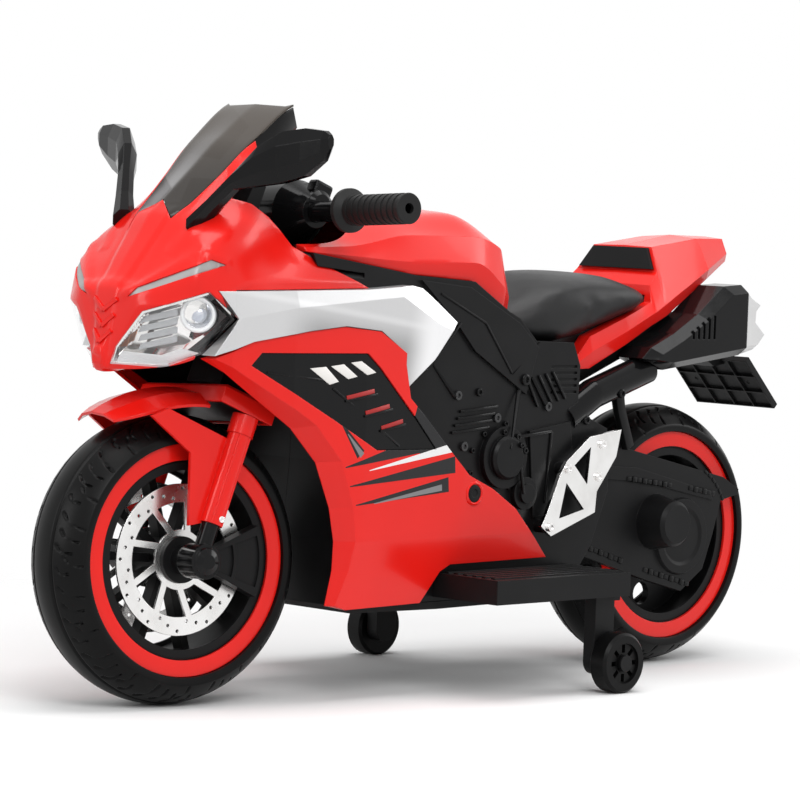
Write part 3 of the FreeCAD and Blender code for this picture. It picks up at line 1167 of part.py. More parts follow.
def headlight_parts():
    """Lens, reflector bucket and lamp of both headlights."""
    light, out = view_prism(HEADLIGHT_SHARES, PANEL_GAP / 2)
    bay = view_prism(HEADLIGHT_SHARES, PANEL_GAP / 2 + HEADLIGHT_WALL)[0]
    side = box(vec(0, PANEL_WALL, 0), vec(BODY_LENGTH, BODY_WIDTH, BODY_LENGTH))
    skin = cowl()
    lens = skin.cut(cowl(LENS_WALL)).common(light).common(side)
    under = cowl(LENS_WALL + FIT_GAP)
    bucket = under.common(light).common(side).cut(moved(under, out * -HEADLIGHT_DEPTH))
    floor = moved(under, out * (HEADLIGHT_WALL - HEADLIGHT_DEPTH))
    bucket = largest(bucket.cut(under.common(bay).cut(floor)))
    yaw = math.radians(HEADLIGHT_YAW)
    across = vec(math.sin(yaw), -math.cos(yaw), 0)
    near = out * (BODY_LENGTH / 4)
    start = across * (LAMP_SHARES[0] * BODY_LENGTH) + UP * (LAMP_SHARES[1] * BODY_HEIGHT) + near
    barrel = rod(LAMP_RADIUS, start, start + near).common(bay)
    barrel = barrel.common(moved(under, out * -LAMP_SET_BACK)).common(cowl(LENS_WALL + PANEL_GAP))
    lamp = largest(barrel.cut(moved(floor, out * FIT_GAP)))
    return {"headlight_lenses": both(largest(lens)), "headlight_housings": both(bucket),
            "headlight_lamps": both(lamp)}


def windshield():
    layer = cowl().cut(cowl(SCREEN_WALL, -OVERRUN))
    return largest(layer.common(screen_prism(0.0)))


def mirrors():
    rings = []
    for y_share, x_share, z_share, half_x, half_z in MIRROR_SHARES:
        points = []
        for step in range(8):
            angle = math.radians(MIRROR_TURN * (2 * step + 1))
            points.append(at(x_share + half_x * math.cos(angle) / math.cos(math.radians(MIRROR_TURN)),
                             y_share,
                             z_share + half_z * math.sin(angle) / math.cos(math.radians(MIRROR_TURN))))
        rings.append(points)
    return both(largest(ruled(rings).cut([cowl(), side_prism(SIDE_PANEL_SHARES, 0, BODY_WIDTH)])))


def mirror_glasses():
    """Thin glasses on the rear faces of the mirror heads."""
    points = []
    for y_share, x_share, z_share, half_x, half_z in MIRROR_SHARES[4:6]:
        for sign in (-1, 1):
            z = z_share + sign * half_z * math.tan(math.radians(MIRROR_TURN)) * MIRROR_FACE_SHARE
            points.append(at(x_share - half_x - MIRROR_GLASS_SHARE, y_share, z))
    outline = [points[0], points[2], points[3], points[1]]
    return both(prism(outline, at(MIRROR_GLASS_SHARE, 0, 0)))


def dash_points():
    high = (NECK_TOP + BAR_RISE) / 2 + NECK_RADIUS
    return [head_point(NECK_RADIUS + SEAT_GAP, 0, NECK_TOP - NECK_RADIUS),
            head_point(NECK_RADIUS + SEAT_GAP, 0, NECK_TOP),
            head_point(DASH_FACE, 0, NECK_TOP), head_point(DASH_FACE, 0, high),
            head_point(DASH_FACE + SWITCH_DEPTH * 2, 0, high), head_point(DASH_FACE + SWITCH_DEPTH * 3,
                                                                          0, NECK_TOP - NECK_RADIUS)]


def dash_height():
    """Height up the steering head of the buttons on the dash."""
    return (NECK_TOP + (NECK_TOP + BAR_RISE) / 2 + NECK_RADIUS) / 2


def power_place():
    return head_point(DASH_FACE, -POWER_Y, dash_height())


def switch_place():
    return head_point(DASH_FACE, POWER_Y, dash_height())


def head_forward():
    return head_point(1, 0, 0) - head_point(0, 0, 0)


def dash_panel():
    outline = [point - vec(0, DASH_HALF_WIDTH, 0) for point in dash_points()]
    dash = prism(outline, vec(0, DASH_HALF_WIDTH * 2, 0)).common(cowl(PANEL_WALL, -OVERRUN))
    well = rod(POWER_RADIUS + BUTTON_GAP, power_place() - head_forward() * POWER_LENGTH,
               power_place() + head_forward() * (POWER_LENGTH - POWER_PROUD + POWER_TRAVEL
                                                 + BUTTON_GAP))
    outline = FRAME_FRONT_SHARES + TANK_SEAM_SHARES + SEAT_SEAM_SHARES + FRAME_REAR_SHARES
    frame = side_prism(outline, -BODY_WIDTH, BODY_WIDTH, -SEAT_GAP)
    tank = shell_form(TANK_SHARES, -SEAT_GAP)
    return largest(dash.cut([well, switch_room(), frame, tank]))


def switch_room():
    half = SWITCH_WIDTH / 2 + BUTTON_GAP
    reach = SWITCH_LENGTH / 2 + BUTTON_GAP
    pocket = box(vec(-SWITCH_DEPTH, -half, -reach), vec(SWITCH_DEPTH, half, reach))
    grow = SWITCH_PIN_RADIUS + RUN_GAP
    holes = rod(grow, vec(0, -half - SWITCH_PIN_OVERHANG, 0), vec(0, half + SWITCH_PIN_OVERHANG, 0))
    return moved(turned(pocket.fuse(holes), LEFT, -RAKE), switch_axis_place())


def switch_axis_place():
    return switch_place() + head_forward() * (SWITCH_PIN_RADIUS * 2)


def direction_switch():
    """A rocker that tilts on its own pins, forward or reverse."""
    half = SWITCH_WIDTH / 2
    reach = SWITCH_LENGTH / 2 * math.cos(math.radians(SWITCH_TILT)) - BUTTON_GAP
    face = SWITCH_PIN_RADIUS * 2
    profile = [vec(-face - SWITCH_PROUD, -half, -reach), vec(-face, -half, 0),
               vec(-face - SWITCH_PROUD, -half, reach),
               vec(0, -half, reach), vec(face, -half, 0), vec(0, -half, -reach)]
    rocker = prism(profile, vec(0, SWITCH_WIDTH, 0))
    pin_half = half + SWITCH_PIN_OVERHANG - BUTTON_GAP
    pins = rod(SWITCH_PIN_RADIUS, vec(0, -pin_half, 0), vec(0, pin_half, 0))
    return moved(turned(rocker.fuse(pins), LEFT, -RAKE), switch_axis_place())


def power_button():
    place = power_place()
    return rod(POWER_RADIUS, place - head_forward() * POWER_PROUD,
               place + head_forward() * (POWER_LENGTH - POWER_PROUD))


def side_panel():
    """Silver upper side panel, a dished shell that stands on the frame's side."""
    grow = PANEL_GAP / 2
    outer = side_prism(SIDE_PANEL_SHARES, 0, BODY_WIDTH,
                       grow).common(panel_form(SIDE_PANEL_SECTION_SHARES))
    room = side_prism(SIDE_PANEL_SHARES, 0, BODY_WIDTH, grow + PANEL_WALL)
    room = room.common(panel_form(SIDE_PANEL_SECTION_SHARES, PANEL_WALL, OVERRUN))
    light, out = view_prism(HEADLIGHT_SHARES, -PANEL_GAP / 2)
    return largest(outer.cut([room, light]))


def fairing_form(depth):
    """The side fairing's outline from the frame out, with its front edge bevelled back."""
    low = side_outline(FAIRING_FRONT_SHARES + FAIRING_REST_SHARES, depth)
    high = side_outline(FAIRING_BEVEL_SHARES + FAIRING_REST_SHARES, depth)
    inner = BODY_WIDTH / 8
    face = FRAME_FACE
    outer = FAIRING_BEVEL_SHARE * BODY_WIDTH
    straight = prism([vec(x, inner, z) for x, z in low], vec(0, face - inner, 0))
    slope = ruled([[vec(x, face, z) for x, z in low], [vec(x, outer, z) for x, z in high]])
    return straight.fuse(slope)


def side_fairing():
    grow = PANEL_GAP / 2
    outer = fairing_form(grow).common(panel_form(FAIRING_SECTION_SHARES))
    room = fairing_form(grow + PANEL_WALL).common(panel_form(FAIRING_SECTION_SHARES, PANEL_WALL,
                                                             OVERRUN))
    vent = side_prism(VENT_SHARES, FRAME_FACE, BODY_WIDTH)
    return largest(outer.cut(room).cut(vent))


def side_vent():
    """Black vent insert, sunk in the side fairing and held by a flange behind it."""
    sink = VENT_SINK_SHARE * BODY_WIDTH
    insert = side_prism(VENT_SHARES, FRAME_FACE, BODY_WIDTH, PANEL_GAP / 2)
    insert = insert.common(panel_form(FAIRING_SECTION_SHARES,
                                      sink)).cut(panel_form(FAIRING_SECTION_SHARES, PANEL_WALL * 2,
                                                            OVERRUN))
    flange = side_prism(VENT_SHARES, FRAME_FACE, BODY_WIDTH, -PANEL_WALL)
    flange = flange.common(panel_form(FAIRING_SECTION_SHARES, PANEL_WALL + FIT_GAP))
    flange = flange.cut(panel_form(FAIRING_SECTION_SHARES, PANEL_WALL * 2, OVERRUN))
    return largest(insert.fuse(flange))


def seam_floor(shares):
    """Everything below a seam line, raised by the gap that stays over it."""
    front = shares[0][0] + SEAM_END_SHARE
    rear = shares[-1][0] - SEAM_END_SHARE
    low = [(rear, SEAM_LOW_SHARE), (front, SEAM_LOW_SHARE)]
    ends = [(front, shares[0][1])] + shares + [(rear, shares[-1][1])]
    return moved(side_prism(ends + low, -BODY_WIDTH, BODY_WIDTH), vec(0, 0, SEAT_GAP))


def tank_cover():
    shell = shell_form(TANK_SHARES).cut(shell_form(TANK_SHARES, PANEL_WALL, -PANEL_WALL, PANEL_WALL))
    return largest(shell.cut([seam_floor(TANK_SEAM_SHARES), bar_room()]))


def seat_section(x_share, width_share, low_share, edge_share, crown_share):
    """A seat cross section: flat underside, drawn-in sides and a crowned top."""
    half = width_share * BODY_WIDTH
    tuck = half - SEAT_BULGE_SHARE * BODY_WIDTH * 2
    belly = half + SEAT_BULGE_SHARE * BODY_WIDTH
    x = x_share * BODY_LENGTH
    low = low_share * BODY_HEIGHT
    edge = edge_share * BODY_HEIGHT
    crown = crown_share * BODY_HEIGHT
    middle = (low + edge) / 2
    floor = Part.makeLine(vec(x, -tuck, low), vec(x, tuck, low))
    left = Part.Arc(vec(x, tuck, low), vec(x, belly, middle), vec(x, half, edge)).toShape()
    top = Part.Arc(vec(x, half, edge), vec(x, 0, crown), vec(x, -half, edge)).toShape()
    right = Part.Arc(vec(x, -half, edge), vec(x, -belly, middle), vec(x, -tuck, low)).toShape()
    return Part.Wire([floor, left, top, right])


def seat():
    cushion = Part.makeLoft([seat_section(*shares) for shares in SEAT_SHARES], True, False)
    return largest(cushion.cut(seam_floor(TANK_SEAM_SHARES[-1:] + SEAT_SEAM_SHARES + BOOM_SEAM_SHARES)))


def tail_bay():
    """The room inside the tail for the frame's boom and the plate holder's arm."""
    half = BOOM_HALF_WIDTH + PANEL_GAP
    low = at(BOOM_END_SHARES[0][0], 0, BOOM_END_SHARES[-1][1])
    high = at(TAIL_SHARES[0][0], 0, BOOM_END_SHARES[0][1])
    boom = box(vec(low.x - PANEL_GAP, -half, low.z),
               vec(high.x + OVERRUN, half, high.z + PANEL_GAP * 5))
    arm = side_prism(PLATE_ARM_SHARES, -PLATE_ARM_HALF_WIDTH - PANEL_GAP,
                     PLATE_ARM_HALF_WIDTH + PANEL_GAP, -PANEL_GAP)
    return [boom, arm]


def tail_fairing():
    shell = shell_form(TAIL_SHARES).cut(shell_form(TAIL_SHARES, TAIL_WALL, TAIL_WALL, TAIL_WALL))
    return largest(shell.cut(tail_bay()))


def tail_pad():
    """A slanted pad on the front face of the tail's hump."""
    low, high = [at(*shares) for shares in PAD_SHARES]
    outline = [low, high, vec(high.x, -high.y, high.z), vec(low.x, -low.y, low.z)]
    pad = moved(prism(outline, vec(PAD_THICK, 0, 0)), vec(SEAT_GAP, 0, 0))
    return largest(pad.cut(shell_form(TAIL_SHARES, -FIT_GAP)))


def exhaust():
    """Box-shaped mock silencer with a chamfered outer face and cooling slots."""
    body = side_prism(EXHAUST_SHARES, EXHAUST_INNER_Y, EXHAUST_OUTER_Y - EXHAUST_CHAMFER)
    rim = [vec(x, EXHAUST_OUTER_Y - EXHAUST_CHAMFER, z) for x, z in side_outline(EXHAUST_SHARES)]
    face = [vec(x, EXHAUST_OUTER_Y, z) for x, z in side_outline(EXHAUST_FACE_SHARES)]
    body = body.fuse(ruled([rim, face]))
    slots = []
    centre = at(EXHAUST_SLOT_SHARES[0], 0, EXHAUST_SLOT_SHARES[1])
    for index in range(EXHAUST_SLOT_COUNT):
        low = centre + vec(-EXHAUST_SLOT_PITCH * (index - EXHAUST_SLOT_COUNT / 2),
                           EXHAUST_OUTER_Y - EXHAUST_SLOT_DEPTH, 0)
        slots.append(box(low, low + vec(EXHAUST_SLOT_WIDTH, OVERRUN, EXHAUST_SLOT_PITCH * 3)))
    return largest(body.cut(slots).cut(shell_form(TAIL_SHARES, -PANEL_GAP)))


def exhaust_tip():
    rim = [vec(x, EXHAUST_OUTER_Y - EXHAUST_CHAMFER, z) for x, z in side_outline(TIP_SHARES)]
    face = [vec(x, EXHAUST_OUTER_Y, z) for x, z in side_outline(TIP_FACE_SHARES)]
    body = side_prism(TIP_SHARES, EXHAUST_INNER_Y, EXHAUST_OUTER_Y - EXHAUST_CHAMFER)
    body = body.fuse(ruled([rim, face]))
    mouth = side_prism(TIP_SHARES, EXHAUST_INNER_Y + TIP_WALL, EXHAUST_OUTER_Y - TIP_WALL * 2, TIP_WALL)
    return largest(body.cut(moved(mouth, vec(-TIP_WALL * 2, 0, 0))))


def link_pipes():
    """Bent pipes between the frame's sides and the exhausts."""
    start, bend, end = [at(x_share, 0, z_share) + vec(0, PIPE_Y, 0) for x_share, z_share in PIPE_SHARES]
    pipe = rod(PIPE_RADIUS, start, bend).multiFuse([Part.makeSphere(PIPE_RADIUS, bend),
                                                    rod(PIPE_RADIUS, bend, end)])
    outline = FRAME_FRONT_SHARES + TANK_SEAM_SHARES + SEAT_SEAM_SHARES + FRAME_REAR_SHARES
    blocks = [side_prism(outline, 0, FRAME_HALF_WIDTH, -FIT_GAP),
              side_prism(EXHAUST_SHARES, 0, BODY_WIDTH, -FIT_GAP),
              shell_form(TAIL_SHARES, -FIT_GAP)]
    return both(largest(pipe.cut(blocks)))


def plate_holder():
    plate = side_prism(PLATE_SHARES, -PLATE_HALF_WIDTH, PLATE_HALF_WIDTH)
    arm = side_prism(PLATE_ARM_SHARES, -PLATE_ARM_HALF_WIDTH, PLATE_ARM_HALF_WIDTH)
    top, bottom = [at(x, 0, z) for x, z in PLATE_SHARES[:2]]
    down = bottom - top
    normal = vec(-down.z, 0, down.x)
    normal.normalize()
    ribs = []
    for index in range(PLATE_RIB_COUNT + 1):
        y = -PLATE_HALF_WIDTH + (2 * PLATE_HALF_WIDTH - PLATE_RIB_THICK) * index / PLATE_RIB_COUNT
        corner = top + vec(0, y, 0)
        ribs.append(prism([corner, corner + down, corner + down + normal * PLATE_RIB_HEIGHT,
                           corner + normal * PLATE_RIB_HEIGHT], vec(0, PLATE_RIB_THICK, 0)))
    for share in PLATE_RIB_SHARES + [1 - PLATE_RIB_THICK / down.Length]:
        corner = top + down * share - vec(0, PLATE_HALF_WIDTH, 0)
        thick = down * (PLATE_RIB_THICK / down.Length)
        ribs.append(prism([corner, corner + thick, corner + thick + normal * PLATE_RIB_HEIGHT,
                           corner + normal * PLATE_RIB_HEIGHT], vec(0, 2 * PLATE_HALF_WIDTH, 0)))
    holder = plate.multiFuse([arm] + ribs)
    holes = []
    for side in (-1, 1):
        place = top + down / 2 + vec(0, side * PLATE_HOLE_PITCH / 2, 0)
        holes.append(rod(PLATE_HOLE_RADIUS, place - normal * OVERRUN, place + normal * OVERRUN))
    return holder.cut(holes)


def belly_pan():
    return side_prism(BELLY_SHARES, -BELLY_HALF_WIDTH, BELLY_HALF_WIDTH)


# Footboards, pedal, training wheels and what is inside

def footboard(with_pedal):
    """A hollow board with ribs on top; the right one has a well for the pedal."""
    low = vec(FOOTBOARD_REAR, FRAME_FACE, FOOTBOARD_LOW)
    high = vec(FOOTBOARD_FRONT, FOOTBOARD_OUTER_Y, FOOTBOARD_TOP)
    wall = vec(PANEL_WALL, PANEL_WALL, 0)
    board = box(low, high)
    board = board.cut(box(low + wall - vec(0, 0, OVERRUN), high - wall - vec(0, 0, PANEL_WALL)))
    if with_pedal:
        board = board.fuse(box(vec(PEDAL_HINGE_X - PEDAL_PIN_OVERHANG * 2,
                                   -PEDAL_Y - PEDAL_WIDTH / 2 - PEDAL_PIN_OVERHANG * 2,
                                   FOOTBOARD_TOP - PEDAL_WELL_DEPTH - PANEL_WALL),
                               vec(PEDAL_HINGE_X + PEDAL_LENGTH + PEDAL_PIN_OVERHANG,
                                   -PEDAL_Y + PEDAL_WIDTH / 2 + PEDAL_PIN_OVERHANG * 2,
                                   FOOTBOARD_TOP)))
        well = box(vec(PEDAL_HINGE_X - PEDAL_HINGE_RADIUS - PEDAL_GAP,
                       -PEDAL_Y - PEDAL_WIDTH / 2 - PEDAL_GAP,
                       FOOTBOARD_TOP - PEDAL_WELL_DEPTH),
                   vec(PEDAL_HINGE_X + PEDAL_LENGTH + PEDAL_GAP, -PEDAL_Y + PEDAL_WIDTH / 2 + PEDAL_GAP,
                       FOOTBOARD_TOP + OVERRUN))
        pin = pedal_pin(RUN_GAP, PEDAL_GAP)
        return mirrored(board.cut([well, mirrored(pin)]))
    pitch = (FOOTBOARD_OUTER_Y - FRAME_FACE) / (FOOTBOARD_RIB_COUNT + 1)
    ribs = []
    for index in range(FOOTBOARD_RIB_COUNT):
        y = FRAME_FACE + pitch * (index + 1) - FOOTBOARD_RIB_WIDTH / 2
        ribs.append(box(vec(low.x + pitch / 2, y, high.z - FOOTBOARD_RIB),
                        vec(high.x - pitch / 2, y + FOOTBOARD_RIB_WIDTH, high.z + FOOTBOARD_RIB)))
    return board.multiFuse(ribs)


def pedal_pin(grow, longer):
    half = PEDAL_WIDTH / 2 + PEDAL_PIN_OVERHANG + longer
    hinge = vec(PEDAL_HINGE_X, PEDAL_Y, PEDAL_HINGE_Z)
    return rod(PEDAL_PIN_RADIUS + grow, hinge - vec(0, half, 0), hinge + vec(0, half, 0))


def accelerator_pedal():
    hinge = vec(PEDAL_HINGE_X, PEDAL_Y, PEDAL_HINGE_Z)
    half = vec(0, PEDAL_WIDTH / 2, 0)
    plate = box(hinge - half + vec(0, 0, -PEDAL_THICK / 2),
                hinge + half + vec(PEDAL_LENGTH, 0, PEDAL_THICK / 2))
    barrel = rod(PEDAL_HINGE_RADIUS, hinge - half, hinge + half)
    pedal = plate.fuse(barrel)
    for index in range(1, FOOTBOARD_RIB_COUNT):
        x = PEDAL_LENGTH * index / FOOTBOARD_RIB_COUNT
        pedal = pedal.fuse(box(hinge - half + vec(x, 0, 0),
                               hinge + half + vec(x + FOOTBOARD_RIB_WIDTH / 2, 0,
                                                  PEDAL_THICK / 2 + FOOTBOARD_RIB)))
    pedal = turned(pedal, LEFT, -PEDAL_REST, hinge)
    return pedal.fuse(pedal_pin(0, 0))


def trainer_place():
    return vec(TRAINER_X, 0, TRAINER_RADIUS)


def training_wheel():
    low = TRAINER_INNER_Y
    high = TRAINER_OUTER_Y
    bore = TRAINER_PIN_RADIUS + RUN_GAP
    shoulder = TRAINER_RADIUS - TRAINER_RECESS
    wheel = spun([(low, bore), (low, shoulder), (low + TRAINER_RECESS, TRAINER_RADIUS),
                  (high - TRAINER_RECESS, TRAINER_RADIUS),
                  (high, shoulder), (high, TRAINER_RIM_RADIUS), (high - TRAINER_RECESS,
                                                                 TRAINER_RIM_RADIUS),
                  (high - TRAINER_RECESS, TRAINER_HUB_RADIUS), (high - TRAINER_RECESS / 2,
                                                                TRAINER_HUB_RADIUS),
                  (high - TRAINER_RECESS / 2, bore)])
    slot = box(vec(-TRAINER_SPOKE_WIDTH / 2, high - TRAINER_RECESS * 3,
                   TRAINER_HUB_RADIUS + TRAINER_RECESS / 2),
               vec(TRAINER_SPOKE_WIDTH / 2, high, TRAINER_RIM_RADIUS - TRAINER_RECESS / 2))
    return moved(wheel.cut(around(slot, TRAINER_SPOKE_COUNT)), trainer_place())


def training_brackets():
    """Arched brackets with a flange under the footboards, the stub axle and its screw head."""
    centre = trainer_place()
    outer = TRAINER_INNER_Y - TRAINER_SIDE_GAP
    inner = outer - TRAINER_BRACKET_THICK
    half = TRAINER_BRACKET_WIDTH / 2
    foot = centre + vec(TRAINER_BRACKET_LEAD, 0, 0)
    arch = rod(half, foot + vec(0, inner, 0), foot + vec(0, outer, 0))
    top = vec(foot.x + half, outer, FOOTBOARD_LOW - FIT_GAP)
    stand = box(foot + vec(-half, inner, 0), top)
    flange = box(vec(FOOTBOARD_REAR, inner, top.z - TRAINER_FLANGE_THICK), top)
    pin = rod(TRAINER_PIN_RADIUS, centre + vec(0, outer - TRAINER_BRACKET_THICK / 2, 0),
              centre + vec(0, TRAINER_OUTER_Y, 0))
    head_low = centre + vec(0, TRAINER_OUTER_Y - TRAINER_RECESS / 2 + BUTTON_GAP, 0)
    head = rod(TRAINER_HEAD_RADIUS, head_low, head_low + vec(0, TRAINER_HEAD_THICK, 0))
    return both(arch.multiFuse([stand, flange, pin, head]))


def battery():
    low = at(0, 0, FRAME_FRONT_SHARES[0][1]).z + FRAME_WALL + SEAT_GAP
    half = vec(BATTERY_LENGTH / 2, BATTERY_WIDTH / 2, 0)
    centre = vec(BATTERY_X, 0, low)
    return box(centre - half, centre + half + vec(0, 0, BATTERY_HEIGHT))


def all_nodes():
    """Every node's name and shape, before the whole bike moves to its origin."""
    left_frame = frame_half()
    left_fairing = side_fairing()
    left_panel = side_panel()
    nodes = {"fork_yoke": fork_yoke(), "fork_legs": fork_legs(), "fork_covers": fork_covers(),
             "fork_calipers": fork_calipers(), "front_fender": front_fender(), "front_axle": front_axle(),
             "handlebar": handlebar(), "handlebar_cover": handlebar_cover(), "grips": grips(),
             "horn_button": horn_button()}
    nodes.update(front_wheel())
    nodes.update({"frame_left": left_frame, "frame_right": mirrored(left_frame),
                  "nose_fairing": nose_fairing(),
                  "nose_strips": nose_strips(), "windshield": windshield(), "mirrors": mirrors(),
                  "mirror_glasses": mirror_glasses(), "dash_panel": dash_panel(),
                  "power_button": power_button(),
                  "direction_switch": direction_switch(), "side_fairing_left": left_fairing,
                  "side_fairing_right": mirrored(left_fairing), "side_panel_left": left_panel,
                  "side_panel_right": mirrored(left_panel), "side_vents": both(side_vent()),
                  "belly_pan": belly_pan(), "tank_cover": tank_cover(), "seat": seat(),
                  "tail_fairing": tail_fairing(), "tail_pad": tail_pad(), "exhausts": both(exhaust()),
                  "exhaust_tips": both(exhaust_tip()), "link_pipes": link_pipes(),
                  "plate_holder": plate_holder(),
                  "footrest_plates": footrest_plates(), "frame_bolts": frame_bolts(),
                  "swingarm_left": swingarm(True), "swingarm_right": mirrored(swingarm(False)),
                  "rear_axle": rear_axle(), "rear_tyre": at_rear(tyre()), "rear_rim": at_rear(rear_rim()),
                  "rear_trim_rings": at_rear(trim_rings()), "drive_gear": drive_gear(),
                  "motor_pinion": motor_pinion(), "gearbox_housing": gearbox_housing(),
                  "drive_motor": drive_motor(),
                  "footboard_left": footboard(False), "footboard_right": footboard(True),
                  "accelerator_pedal": accelerator_pedal(),
                  "training_brackets": training_brackets(),
                  "training_wheel_left": training_wheel(), "training_wheel_right": mirrored(training_wheel()),
                  "battery": battery()})
    nodes.update(headlight_parts())
    return nodes


def main():
    os.makedirs("parts", exist_ok=True)
    for name, shape in sorted(all_nodes().items()):
        placed = moved(shape, vec(ORIGIN_SHIFT, 0, 0))
        placed.exportStep(os.path.join("parts", name + ".step"))
        print(name, len(placed.Solids), "solids", round(placed.Volume / 1000, 1), "cm3",
              placed.isValid())


if __name__ == "__main__":
    main()
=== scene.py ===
import json
import math

import bpy
import numpy as np
from mathutils import Matrix, Vector
from mathutils.bvhtree import BVHTree

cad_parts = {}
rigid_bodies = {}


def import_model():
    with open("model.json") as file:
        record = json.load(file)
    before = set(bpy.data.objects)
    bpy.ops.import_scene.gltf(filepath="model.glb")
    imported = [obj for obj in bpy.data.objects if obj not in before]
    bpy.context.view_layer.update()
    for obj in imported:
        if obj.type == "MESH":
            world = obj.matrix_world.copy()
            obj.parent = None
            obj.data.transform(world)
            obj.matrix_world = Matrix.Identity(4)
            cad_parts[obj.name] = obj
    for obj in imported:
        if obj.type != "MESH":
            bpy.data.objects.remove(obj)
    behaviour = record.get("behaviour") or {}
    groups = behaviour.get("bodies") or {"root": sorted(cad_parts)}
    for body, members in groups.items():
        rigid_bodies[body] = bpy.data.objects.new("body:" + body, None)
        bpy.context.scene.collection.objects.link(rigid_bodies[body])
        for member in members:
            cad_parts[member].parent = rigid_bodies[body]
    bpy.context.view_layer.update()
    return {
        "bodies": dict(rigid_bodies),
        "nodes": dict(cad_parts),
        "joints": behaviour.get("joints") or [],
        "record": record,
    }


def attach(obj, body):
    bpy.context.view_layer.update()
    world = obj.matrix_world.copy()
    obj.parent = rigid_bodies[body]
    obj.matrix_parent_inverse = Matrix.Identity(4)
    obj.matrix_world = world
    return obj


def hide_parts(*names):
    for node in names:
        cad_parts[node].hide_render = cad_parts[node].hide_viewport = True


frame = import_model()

bl_info = {
    "name": "Kids electric motorbike",
    "version": (1, 0, 0),
    "blender": (4, 5, 0),
    "location": "View3D > Sidebar > Motorbike",
    "description": "Dresses the packed ride-on motorbike with its shells, seat, tyres, lamps and finishes",
    "category": "Object",
}

NODES = frame["nodes"]

# Places are written in millimetres from the ground below the middle of the wheelbase
SHIFT = 8.5
LENGTH = 1000.0
WIDTH = 250.0
HEIGHT = 500.0
FRONT_AXLE = (370.0, 0.0, 150.0)
REAR_AXLE = (-370.0, 0.0, 150.0)
RAKE = 22.5
STEER_REST = -7.5
BAR_RISE = 388.0
HEADLIGHT_YAW = 45.0
SCREEN_SLOPE = 33.0

# Half sections of the tank cover, its seam line, and the room that the bar's cover sweeps
TANK = [
    (0.262, [(0, 0.926), (0.330, 0.926), (0.336, 0.942), (0.320, 0.950), (0.240, 0.956), (0, 0.956)]),
    (0.200, [(0, 0.904), (0.344, 0.904), (0.360, 0.934), (0.334, 0.954), (0.160, 0.984), (0, 0.990)]),
    (0.110, [(0, 0.876), (0.352, 0.876), (0.372, 0.924), (0.340, 0.980), (0.160, 1.016), (0, 1.022)]),
    (0.020, [(0, 0.864), (0.344, 0.864), (0.372, 0.924), (0.336, 0.980), (0.168, 1.028), (0, 1.034)]),
    (-0.035, [(0, 0.800), (0.312, 0.800), (0.344, 0.870), (0.304, 0.956), (0.152, 0.988), (0, 0.994)]),
    (-0.052, [(0, 0.784), (0.284, 0.784), (0.304, 0.850), (0.264, 0.920), (0.130, 0.946), (0, 0.950)])]
TANK_SEAM = [(0.267, 0.941), (0.262, 0.941), (0.200, 0.923), (0.110, 0.897), (0.020, 0.885), (-0.035, 0.821),
             (-0.052, 0.807), (-0.057, 0.807), (-0.057, 0.5), (0.267, 0.5)]
BAR_ROOM = (72.30, 334.00, 410.0)

# Lines of the raised lips over the nose strips, across the headlight's view and up
NOSE_LIPS = [((308.5, 421.5), (225.5, 470)), ((225.5, 470), (202.5, 457)), ((232.5, 501), (259.5, 467))]

# Half sections of the cowl from keel to top, as shares of length, then width and height
COWL = [
    (0.464, [(0, 0.692), (0.044, 0.694), (0.050, 0.705), (0.048, 0.720), (0.040, 0.735),
             (0.028, 0.745), (0, 0.748)]),
    (0.456, [(0, 0.690), (0.060, 0.694), (0.130, 0.740), (0.200, 0.826), (0.180, 0.846),
             (0.110, 0.856), (0, 0.858)]),
    (0.445, [(0, 0.692), (0.110, 0.695), (0.200, 0.738), (0.290, 0.828), (0.250, 0.866),
             (0.118, 0.878), (0, 0.884)]),
    (0.432, [(0, 0.696), (0.170, 0.699), (0.262, 0.740), (0.350, 0.828), (0.320, 0.884),
             (0.120, 0.914), (0, 0.922)]),
    (0.418, [(0, 0.700), (0.230, 0.705), (0.308, 0.746), (0.392, 0.830), (0.368, 0.904),
             (0.122, 0.952), (0, 0.962)]),
    (0.400, [(0, 0.708), (0.306, 0.724), (0.364, 0.774), (0.414, 0.844), (0.350, 0.946),
             (0.130, 1.000), (0, 1.014)]),
    (0.380, [(0, 0.760), (0.368, 0.780), (0.410, 0.808), (0.420, 0.862), (0.352, 0.966),
             (0.146, 1.032), (0, 1.050)]),
    (0.350, [(0, 0.840), (0.416, 0.844), (0.424, 0.852), (0.416, 0.876), (0.344, 0.982),
             (0.166, 1.086), (0, 1.102)]),
    (0.310, [(0, 0.842), (0.416, 0.846), (0.420, 0.854), (0.412, 0.878), (0.322, 0.988),
             (0.186, 1.162), (0, 1.172)]),
    (0.240, [(0, 0.844), (0.412, 0.848), (0.416, 0.856), (0.408, 0.880), (0.312, 0.960),
             (0.204, 1.250), (0, 1.256)]),
    (0.187, [(0, 0.846), (0.404, 0.850), (0.408, 0.858), (0.400, 0.880), (0.300, 0.950),
             (0.204, 1.244), (0, 1.250)])]
SCREEN = [(0.00, 0.000), (-0.12, 0.112), (0.02, 0.136), (0.36, 0.170), (0.60, 0.190), (0.93, 0.198),
          (0.90, 0.170), (0.895, 0.000)]
NOTCH = (385.6, 0.0, 518.1)
SCREEN_LENGTH = 178.0
COCKPIT = [(0.362, 1.040), (0.346, 1.062), (0.318, 1.118), (0.302, 1.160), (0.296, 1.320), (0.150, 1.320),
           (0.150, 0.830), (0.189, 0.870), (0.284, 0.952), (0.297, 0.984), (0.310, 1.010), (0.330, 1.036),
           (0.350, 1.046)]
HEADLIGHT = [(0.286, 0.814), (0.313, 0.740), (0.318, 0.704), (0.263, 0.700), (0.225, 0.730), (0.190, 0.804),
             (0.2185, 0.858)]
